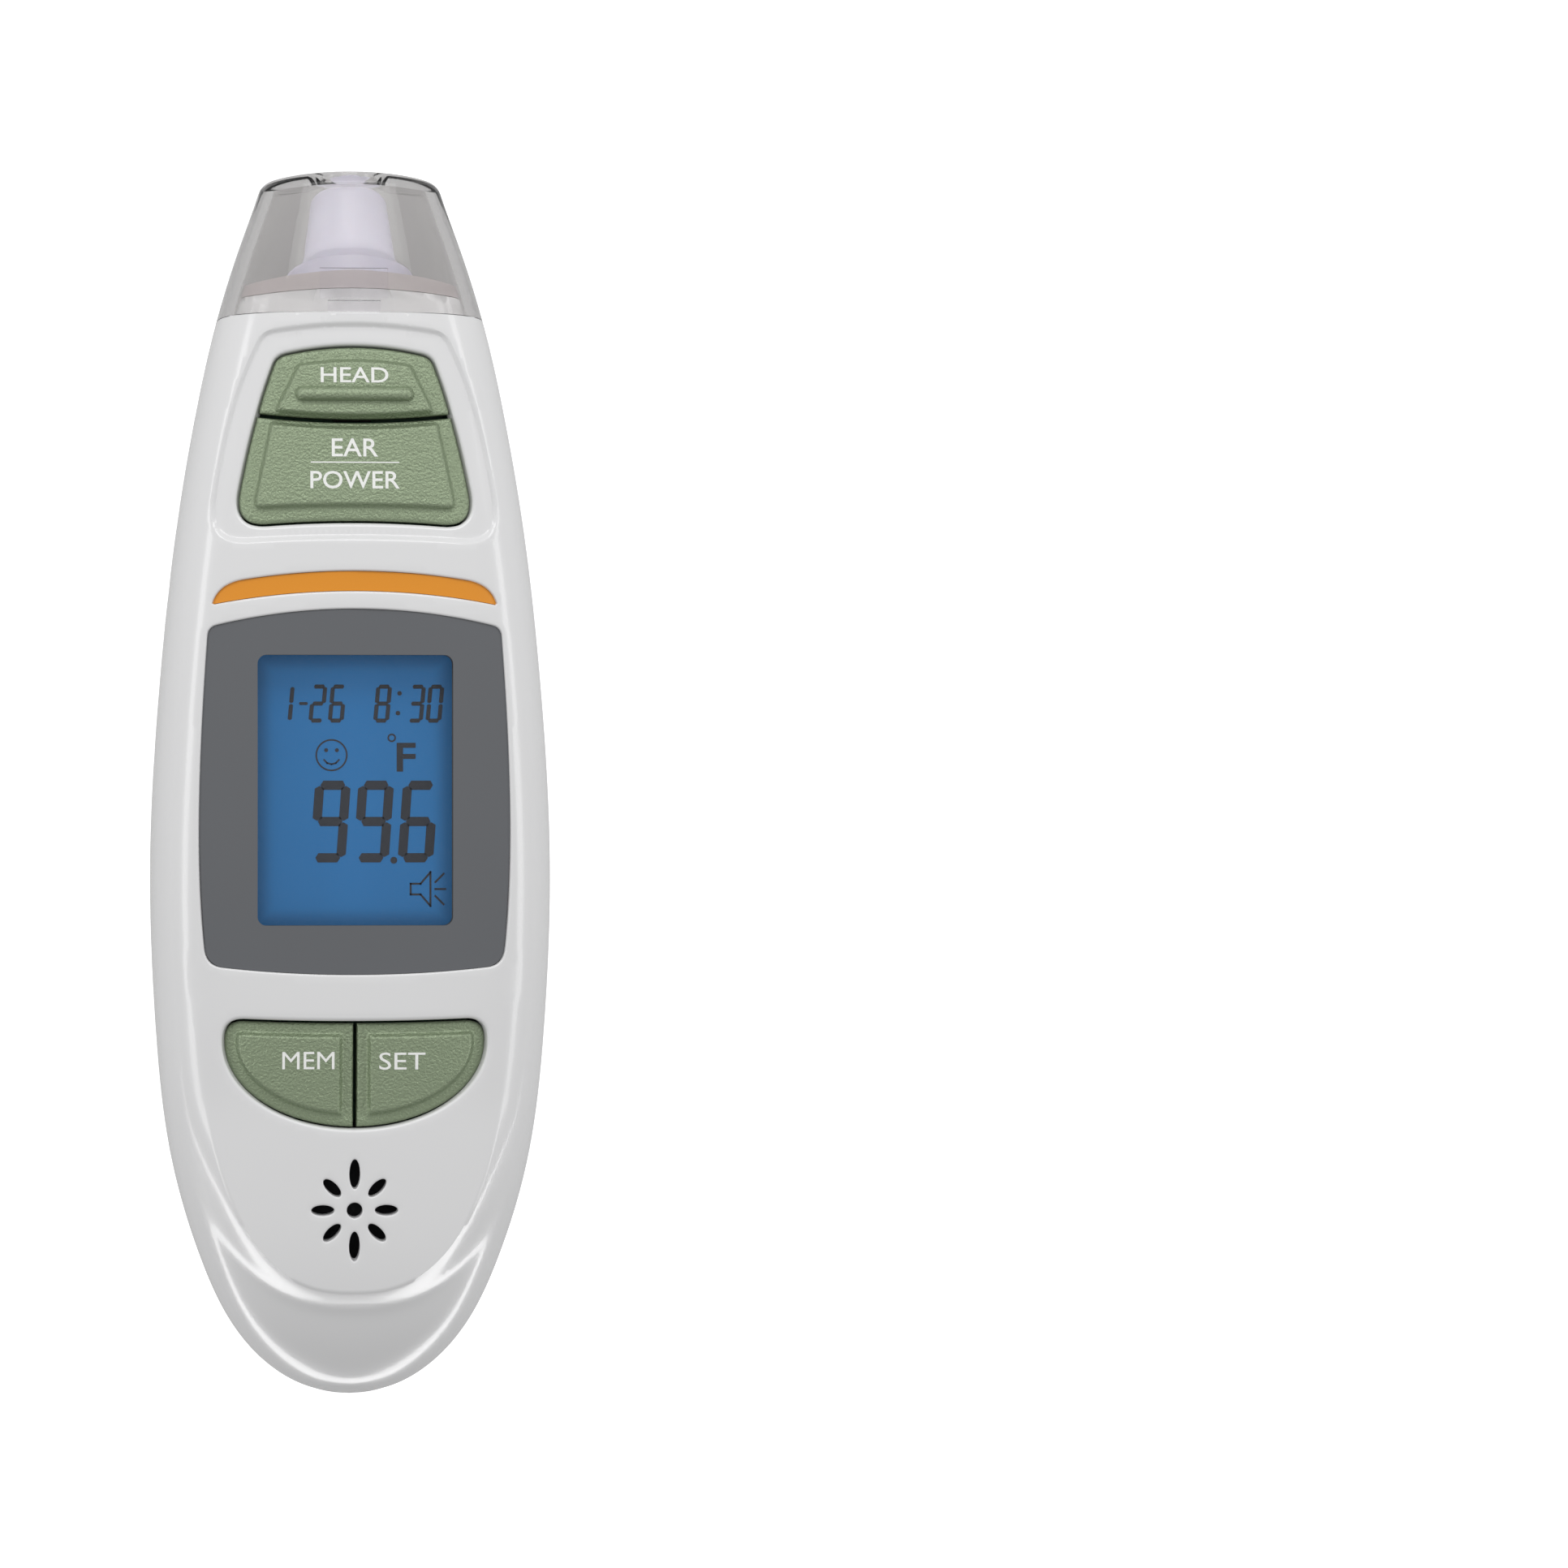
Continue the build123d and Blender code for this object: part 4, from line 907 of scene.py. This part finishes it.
def part_of(loop, keep, edge):
    """The part of an outline that keep accepts, closed along the line that edge gives."""
    kept = keep(loop)
    start = next(i for i in range(len(loop)) if kept[i] and not kept[i - 1])
    order = [(start + step) % len(loop) for step in range(len(loop))]
    run = np.array([loop[i] for i in order if kept[i]])
    return np.vstack([run, edge(run[-1], run[0])])


def upper_key_outline(side, keep_shift, edge_shift):
    """One of the two upper keys; side is 1 above the split and -1 below it."""

    def edge(first, last):
        x = np.linspace(first[0], last[0], 60)
        return np.column_stack([x, split_height(x, edge_shift)])

    def keep(points):
        return side * (points[:, 1] - split_height(points[:, 0], keep_shift)) > 0

    return part_of(UPPER_KEYS, keep, edge)


def half_moon_outline(side):
    """One of the two lower keys; side is -1 on the left and 1 on the right."""

    def edge(first, last):
        y = np.linspace(first[1], last[1], 26)
        return np.column_stack([np.full(26, 0.2 * side), y])

    return part_of(LOWER_KEYS, lambda p: p[:, 0] * side > 0.3, edge)


HEAD_PAD = four_sided(
    (7.0, 51.0), 51.6, (8.5, 47.95), (10.0, 44.9), 44.3, (0.6, 0.6, 0.6, 0.6)
)
EAR_PAD = four_sided(
    (10.3, 44.0), 43.4, (11.45, 38.5), (12.6, 33.0), 33.4, (0.5, 1.2, 1.2, 0.5)
)


def ridge_rise(plan):
    """The touch ridge: a half-round bar."""
    along = np.maximum(np.abs(plan[:, 0]) - RIDGE_HALF, 0)
    away = np.hypot(along, plan[:, 1] - RIDGE_Y) / RIDGE_RADIUS
    return RIDGE_RISE * np.sqrt(np.clip(1 - away**2, 0, 1))


def moulded_key(outline, pad, name, body, node, ridge=False):
    """One key: a rim rounded at its edge, a pad raised inside it and a skirt below."""
    rows, edges = [], []
    for step in (0.0, 0.1, 0.3, 0.6, 1.0):
        add_ring(rows, edges, let_out(outline, -KEY_ROUND * step))
    for offset in (0.1, 0.0, -0.15, -0.3, -0.45, -0.6, -0.75, -0.9):
        rows.append(let_out(pad, offset))
    low, high = outline.min(axis=0), outline.max(axis=0)
    spots = np.meshgrid(np.arange(low[0], high[0], 0.4), np.arange(low[1], high[1], 0.4))
    grid = np.column_stack([spots[0].ravel(), spots[1].ravel()])
    ring_gap = distance_outside(grid, pad)
    keep = distance_outside(grid, outline) < -KEY_ROUND - 0.2
    keep &= (ring_gap > 0.3) | (ring_gap < -1.1)
    if ridge:
        fine_x, fine_y = np.meshgrid(np.arange(-7.3, 7.31, 0.2), np.arange(46.25, 48.26, 0.1))
        fine = np.column_stack([fine_x.ravel(), fine_y.ravel()])
        keep &= ~((np.abs(grid[:, 0]) < 7.4) & (np.abs(grid[:, 1] - RIDGE_Y) < 1.1))
        rows.append(fine)
    rows.append(grid[keep])
    plan, faces = triangles_over(np.vstack(rows), edges)
    faces = faces[distance_outside(plan[faces].mean(axis=1), outline) < 0]
    rim = rim_drop(np.clip(-distance_outside(plan, outline), 0, KEY_ROUND), KEY_ROUND)
    raised = PAD_RISE * ease(-distance_outside(plan, pad) / PAD_RAMP)
    height = form_height(plan[:, 0], plan[:, 1]) - KEY_INSET - rim + raised
    if ridge:
        height += ridge_rise(plan)
    key = mesh_piece(np.column_stack([plan, height]), faces, name)
    open_for_editing(key)
    bpy.ops.mesh.delete_loose()
    bpy.ops.mesh.select_all(action="SELECT")
    bpy.ops.mesh.normals_make_consistent(inside=False)
    bpy.ops.mesh.select_all(action="DESELECT")
    bpy.ops.mesh.select_mode(type="EDGE")
    bpy.ops.mesh.select_non_manifold(extend=False)
    bpy.ops.mesh.extrude_edges_move()
    bpy.ops.transform.resize(value=(1, 1, 0))
    bpy.ops.object.mode_set(mode="OBJECT")
    for vertex in key.data.vertices:
        if vertex.select:
            vertex.co.z = KEY_FOOT * MM
    bpy.ops.object.mode_set(mode="EDIT")
    bpy.ops.mesh.edge_face_add()
    bpy.ops.mesh.select_all(action="SELECT")
    bpy.ops.mesh.normals_make_consistent(inside=False)
    bpy.ops.object.mode_set(mode="OBJECT")
    bpy.ops.object.shade_smooth_by_angle(angle=math.radians(50))
    finish_piece(key, SAGE, body, name)
    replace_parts(key, node)
    return key


MOON_PAD_MARGIN = -1.2
HEAD_OUTLINE = upper_key_outline(1, 0.4, 0.25)
EAR_OUTLINE = upper_key_outline(-1, -0.35, -0.2)
HEAD_KEY = moulded_key(HEAD_OUTLINE, HEAD_PAD, "head_key_top", "head_key", "head_button", True)
EAR_KEY = moulded_key(EAR_OUTLINE, EAR_PAD, "ear_key_top", "ear_key", "ear_power_button")
MEM_OUTLINE = half_moon_outline(-1)
SET_OUTLINE = half_moon_outline(1)
MEM_PAD = let_out(MEM_OUTLINE, MOON_PAD_MARGIN)
SET_PAD = let_out(SET_OUTLINE, MOON_PAD_MARGIN)
MEM_KEY = moulded_key(MEM_OUTLINE, MEM_PAD, "mem_key_top", "mem_key", "mem_button")
SET_KEY = moulded_key(SET_OUTLINE, SET_PAD, "set_key_top", "set_key", "set_button")


# ---------------------------------------------------------------- printed labels

INK = 0.012 * MM  # half of a printed layer's thickness
LETTER_SIZE = 2.6 * MM
LABEL_LIFT = 0.02 * MM


def text_outline(words, weight=0.0):
    """Flat lettering as a thin closed mesh; weight makes its strokes bolder."""
    fresh_selection()
    bpy.ops.object.text_add(location=(0, 0, 0))
    lettering = bpy.context.object
    lettering.data.body = words
    lettering.data.size = LETTER_SIZE
    lettering.data.extrude = INK
    lettering.data.offset = weight * MM
    lettering.data.resolution_u = 4
    bpy.ops.object.convert(target="MESH")
    return bpy.context.object


def print_label(words, left, right, low, high, key, body, name, weight=0.02):
    label = text_outline(words, weight)
    fit(label, left, right, low, high)
    drape(label, top_of(key), LABEL_LIFT)
    finish_piece(label, LABEL, body, name)


def print_line(left, right, middle, thick, key, body, name):
    """A thin printed rule across a key."""
    fresh_selection()
    bpy.ops.mesh.primitive_grid_add(x_subdivisions=16, y_subdivisions=1, size=1.0)
    rule = bpy.context.object
    fit(rule, left, right, middle - thick / 2, middle + thick / 2)
    drape(rule, top_of(key), LABEL_LIFT)
    thicken = rule.modifiers.new("ink", "SOLIDIFY")
    thicken.thickness = 2 * INK
    bpy.ops.object.modifier_apply(modifier=thicken.name)
    finish_piece(rule, LABEL, body, name)


print_label("HEAD", -4.1, 4.1, 48.6, 50.45, HEAD_KEY, "head_key", "head_legend")
print_label("EAR", -2.8, 2.8, 39.6, 41.8, EAR_KEY, "ear_key", "ear_legend")
print_label("POWER", -5.4, 5.4, 35.7, 37.85, EAR_KEY, "ear_key", "power_legend")
print_line(-5.35, 5.35, 38.9, 0.14, EAR_KEY, "ear_key", "ear_power_rule")
print_label("MEM", -8.8, -2.5, -34.45, -32.35, MEM_KEY, "mem_key", "memory_legend", 0.0)
print_label("SET", 2.9, 8.5, -34.55, -32.45, SET_KEY, "set_key", "set_legend", 0.0)


# ---------------------------------------------------------------- display segments

DISPLAY_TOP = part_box("lcd_glass")[1][2]
SEGMENT_HALF = 0.01 * MM
SEGMENT_Z = DISPLAY_TOP + 0.03 * MM
LIT = {
    "0": "abcdef",
    "1": "bc",
    "2": "abged",
    "3": "abgcd",
    "6": "afgedc",
    "8": "abcdefg",
    "9": "abcfgd",
}


def bar(middle_x, middle_y, length, thick, upright):
    """One six-sided display segment, in mm about the display's own origin."""
    fresh_selection()
    bpy.ops.mesh.primitive_cylinder_add(
        vertices=6,
        radius=thick * MM / 2,
        depth=2 * SEGMENT_HALF,
        location=(0, 0, SEGMENT_Z),
    )
    segment = bpy.context.object
    stretch = (length - thick) * MM / 2
    for vertex in segment.data.vertices:
        vertex.co.x, vertex.co.y = vertex.co.y, vertex.co.x
        if abs(vertex.co.x) > 0.1 * MM * thick:
            vertex.co.x += math.copysign(stretch, vertex.co.x)
    if upright:
        for vertex in segment.data.vertices:
            vertex.co.x, vertex.co.y = -vertex.co.y, vertex.co.x
    for vertex in segment.data.vertices:
        vertex.co.x += middle_x * MM
        vertex.co.y += middle_y * MM
    return segment


def digit(figure, left, low, width, height, thick, slant):
    """A seven-segment figure in the rectangle given, leaning right by slant of its height."""
    half = (height - thick) / 2
    middle = width / 2
    inner = width - 1.15 * thick
    edge = thick / 2
    upper, lower = edge + 1.5 * half, edge + 0.5 * half
    post = half - 0.12 * thick
    places = {
        "a": (middle, height - edge, inner, False),
        "g": (middle, height / 2, inner, False),
        "d": (middle, edge, inner, False),
        "f": (edge, upper, post, True),
        "b": (width - edge, upper, post, True),
        "e": (edge, lower, post, True),
        "c": (width - edge, lower, post, True),
    }
    segments = []
    for letter in LIT[figure]:
        x, y, length, upright = places[letter]
        segment = bar(x, y, length, thick, upright)
        for vertex in segment.data.vertices:
            vertex.co.x += (vertex.co.y - height * MM / 2) * slant + left * MM
            vertex.co.y += low * MM
        segments.append(segment)
    return segments


def row_of_digits(figures, lefts, low, width, height, thick, slant):
    segments = []
    for figure, left in zip(figures, lefts):
        segments += digit(figure, left, low, width, height, thick, slant)
    return segments


def dot(x, y, radius):
    """A round display mark."""
    fresh_selection()
    bpy.ops.mesh.primitive_cylinder_add(
        vertices=24, radius=radius * MM, depth=2 * SEGMENT_HALF, location=(x * MM, y * MM, SEGMENT_Z)
    )
    return bpy.context.object


def hoop(x, y, radius, thick):
    """A thin ring on the display."""
    fresh_selection()
    bpy.ops.mesh.primitive_torus_add(
        location=(x * MM, y * MM, SEGMENT_Z),
        major_segments=48,
        minor_segments=6,
        major_radius=radius * MM,
        minor_radius=thick * MM / 2,
    )
    ring = bpy.context.object
    for vertex in ring.data.vertices:
        vertex.co.z *= 2 * SEGMENT_HALF / (thick * MM)
    return ring


def stroke(points, thick):
    """A thin line through points on the display, in mm, as short straight bars."""
    parts = []
    for start, end in zip(points, points[1:]):
        run = Vector((end[0] - start[0], end[1] - start[1]))
        fresh_selection()
        bpy.ops.mesh.primitive_cube_add(size=1.0)
        part = bpy.context.object
        turn = Matrix.Rotation(math.atan2(run.y, run.x), 4, "Z")
        for vertex in part.data.vertices:
            vertex.co.x *= (run.length + thick) * MM
            vertex.co.y *= thick * MM
            vertex.co.z *= 2 * SEGMENT_HALF
            vertex.co = turn @ vertex.co
            vertex.co.x += (start[0] + end[0]) / 2 * MM
            vertex.co.y += (start[1] + end[1]) / 2 * MM
            vertex.co.z += SEGMENT_Z
        parts.append(part)
    return parts


def display_marks(parts, name):
    piece = join(parts, name)
    finish_piece(piece, SEGMENT, "case", name)


def add_display_contents():
    small = (7.4, 2.0, 4.7, 0.58, 0.09)  # low edge, width, height, stroke and slant
    date = row_of_digits("126", (-9.3, -5.35, -3.0), *small)
    date += [bar(-6.1, 9.75, 1.1, 0.42, False)]
    display_marks(date, "display_date")
    clock = row_of_digits("830", (2.5, 6.6, 8.85), *small)
    clock += [dot(5.55, 11.0, 0.28), dot(5.35, 8.6, 0.28)]
    display_marks(clock, "display_clock")
    big = row_of_digits("996", (-5.1, 0.15, 5.55), -9.6, 4.5, 10.1, 1.3, 0.07)
    big += [dot(4.85, -9.25, 0.42)]
    display_marks(big, "display_temperature")
    letter_f = text_outline("F", 0.05)
    fit(letter_f, 5.2, 7.5, 1.5, 5.0)
    for vertex in letter_f.data.vertices:
        vertex.co.z += SEGMENT_Z
    degree = [letter_f, hoop(4.6, 5.6, 0.42, 0.2)]
    display_marks(degree, "display_unit")
    turns = (-1.1, -0.55, 0, 0.55, 1.1)
    smile = [(math.sin(turn) - 2.7, 3.35 - 0.95 * math.cos(turn)) for turn in turns]
    face = [hoop(-2.7, 3.5, 1.85, 0.2), dot(-3.35, 4.1, 0.24), dot(-2.05, 4.1, 0.24)]
    display_marks(face + stroke(smile, 0.2), "display_mood_mark")
    horn = [(6.9, -12.1), (8.1, -12.1), (9.3, -10.7), (9.3, -14.8)]
    horn += [(8.1, -13.4), (6.9, -13.4), (6.9, -12.1)]
    waves = (
        [(9.9, -12.75), (11.1, -12.75)],
        [(9.9, -11.9), (10.9, -10.9)],
        [(9.9, -13.6), (10.9, -14.6)],
    )
    sound = []
    for line in (horn, *waves):
        sound += stroke(line, 0.24)
    display_marks(sound, "display_speaker_mark")


add_display_contents()


# ---------------------------------------------------------------- camera, light and floor

VIEW_HEIGHT = 1.0
VIEW_LEFT = -0.048
AIM_RIGHT = 0.0535
SENSOR_WIDTH = 36.0  # millimetres, as the camera counts it
FIELD = 0.1932  # width of what the camera takes in, at the height of the case's middle
MIDDLE_HEIGHT = 0.015


def add_camera():
    data = bpy.data.cameras.new("camera")
    camera = bpy.data.objects.new("camera", data)
    bpy.context.scene.collection.objects.link(camera)
    eye = Vector((VIEW_LEFT, 0.0, VIEW_HEIGHT))
    aim = Vector((AIM_RIGHT, 0.0, MIDDLE_HEIGHT)) - eye
    onward = aim.normalized()
    right = onward.cross(Vector((0, 1, 0))).normalized()
    up = right.cross(onward)
    camera.matrix_world = Matrix.Translation(eye) @ Matrix((right, up, -onward)).transposed().to_4x4()
    data.sensor_width = SENSOR_WIDTH
    data.lens = SENSOR_WIDTH * aim.length / FIELD
    bpy.context.scene.camera = camera


def add_area(name, place, target, width, height, power, gloss_only=False):
    """A rectangular lamp; one for gloss only is seen in reflections and nowhere else."""
    data = bpy.data.lights.new(name, "AREA")
    data.shape = "RECTANGLE"
    data.size = width
    data.size_y = height
    data.energy = power
    light = bpy.data.objects.new(name, data)
    bpy.context.scene.collection.objects.link(light)
    light.location = place
    aim = Vector(target) - Vector(place)
    light.rotation_euler = aim.to_track_quat("-Z", "Y").to_euler()
    light.visible_diffuse = not gloss_only
    light.visible_camera = not gloss_only


FLOOR_WHITE = 0.95  # the sweep's own light where it is seen straight
FLOOR_GLOW = 0.22  # and as a fill light on the object


def add_floor():
    fresh_selection()
    bpy.ops.mesh.primitive_plane_add(size=4.0, location=(0, 0, -0.0002))
    floor = bpy.context.object
    floor.name = "floor"
    material = finish_material("pale floor", (0.42, 0.42, 0.42), 0.8, drift=0.01, bump=0.0)
    tree = material.node_tree
    shader = tree.nodes["Principled BSDF"]
    shader.inputs["Specular IOR Level"].default_value = 0.0
    shader.inputs["Emission Color"].default_value = (1, 1, 1, 1)
    ray = tree.nodes.new("ShaderNodeLightPath")
    straight = ray.outputs["Is Camera Ray"]
    glow = node_math(tree, "MULTIPLY_ADD", straight, FLOOR_WHITE - FLOOR_GLOW, FLOOR_GLOW)
    tree.links.new(glow, shader.inputs["Emission Strength"])
    floor.data.materials.append(material)


ROOM_LIGHT = 0.58  # the room's own light, brighter past the cap than past the nose
ROOM_SLOPE = 0.2


def add_world():
    world = bpy.data.worlds.new("studio")
    bpy.context.scene.world = world
    world.use_nodes = True
    tree = world.node_tree
    back = tree.nodes["Background"]
    back.inputs["Color"].default_value = (1.0, 1.0, 1.0, 1)
    place = tree.nodes.new("ShaderNodeTexCoord")
    split = tree.nodes.new("ShaderNodeSeparateXYZ")
    tree.links.new(place.outputs["Generated"], split.inputs[0])
    strength = node_math(tree, "MULTIPLY_ADD", split.outputs["Y"], ROOM_SLOPE, ROOM_LIGHT)
    tree.links.new(strength, back.inputs["Strength"])


add_camera()
add_area("left softbox", (-0.56, 0.03, 0.27), (0, 0, 0.02), 0.7, 0.10, 0.8)
add_area("right softbox", (0.56, 0.03, 0.27), (0, 0, 0.02), 0.7, 0.10, 0.7)
add_area("top softbox", (0.0, 0.62, 0.55), (0, 0, 0.01), 0.7, 0.3, 2.2)
add_area("chin card", (0.0, -0.23, 0.001), (0, -0.23, 0.5), 1.0, 0.2, 4.2, gloss_only=True)
add_floor()
add_world()
bpy.context.scene.view_settings.view_transform = "Standard"
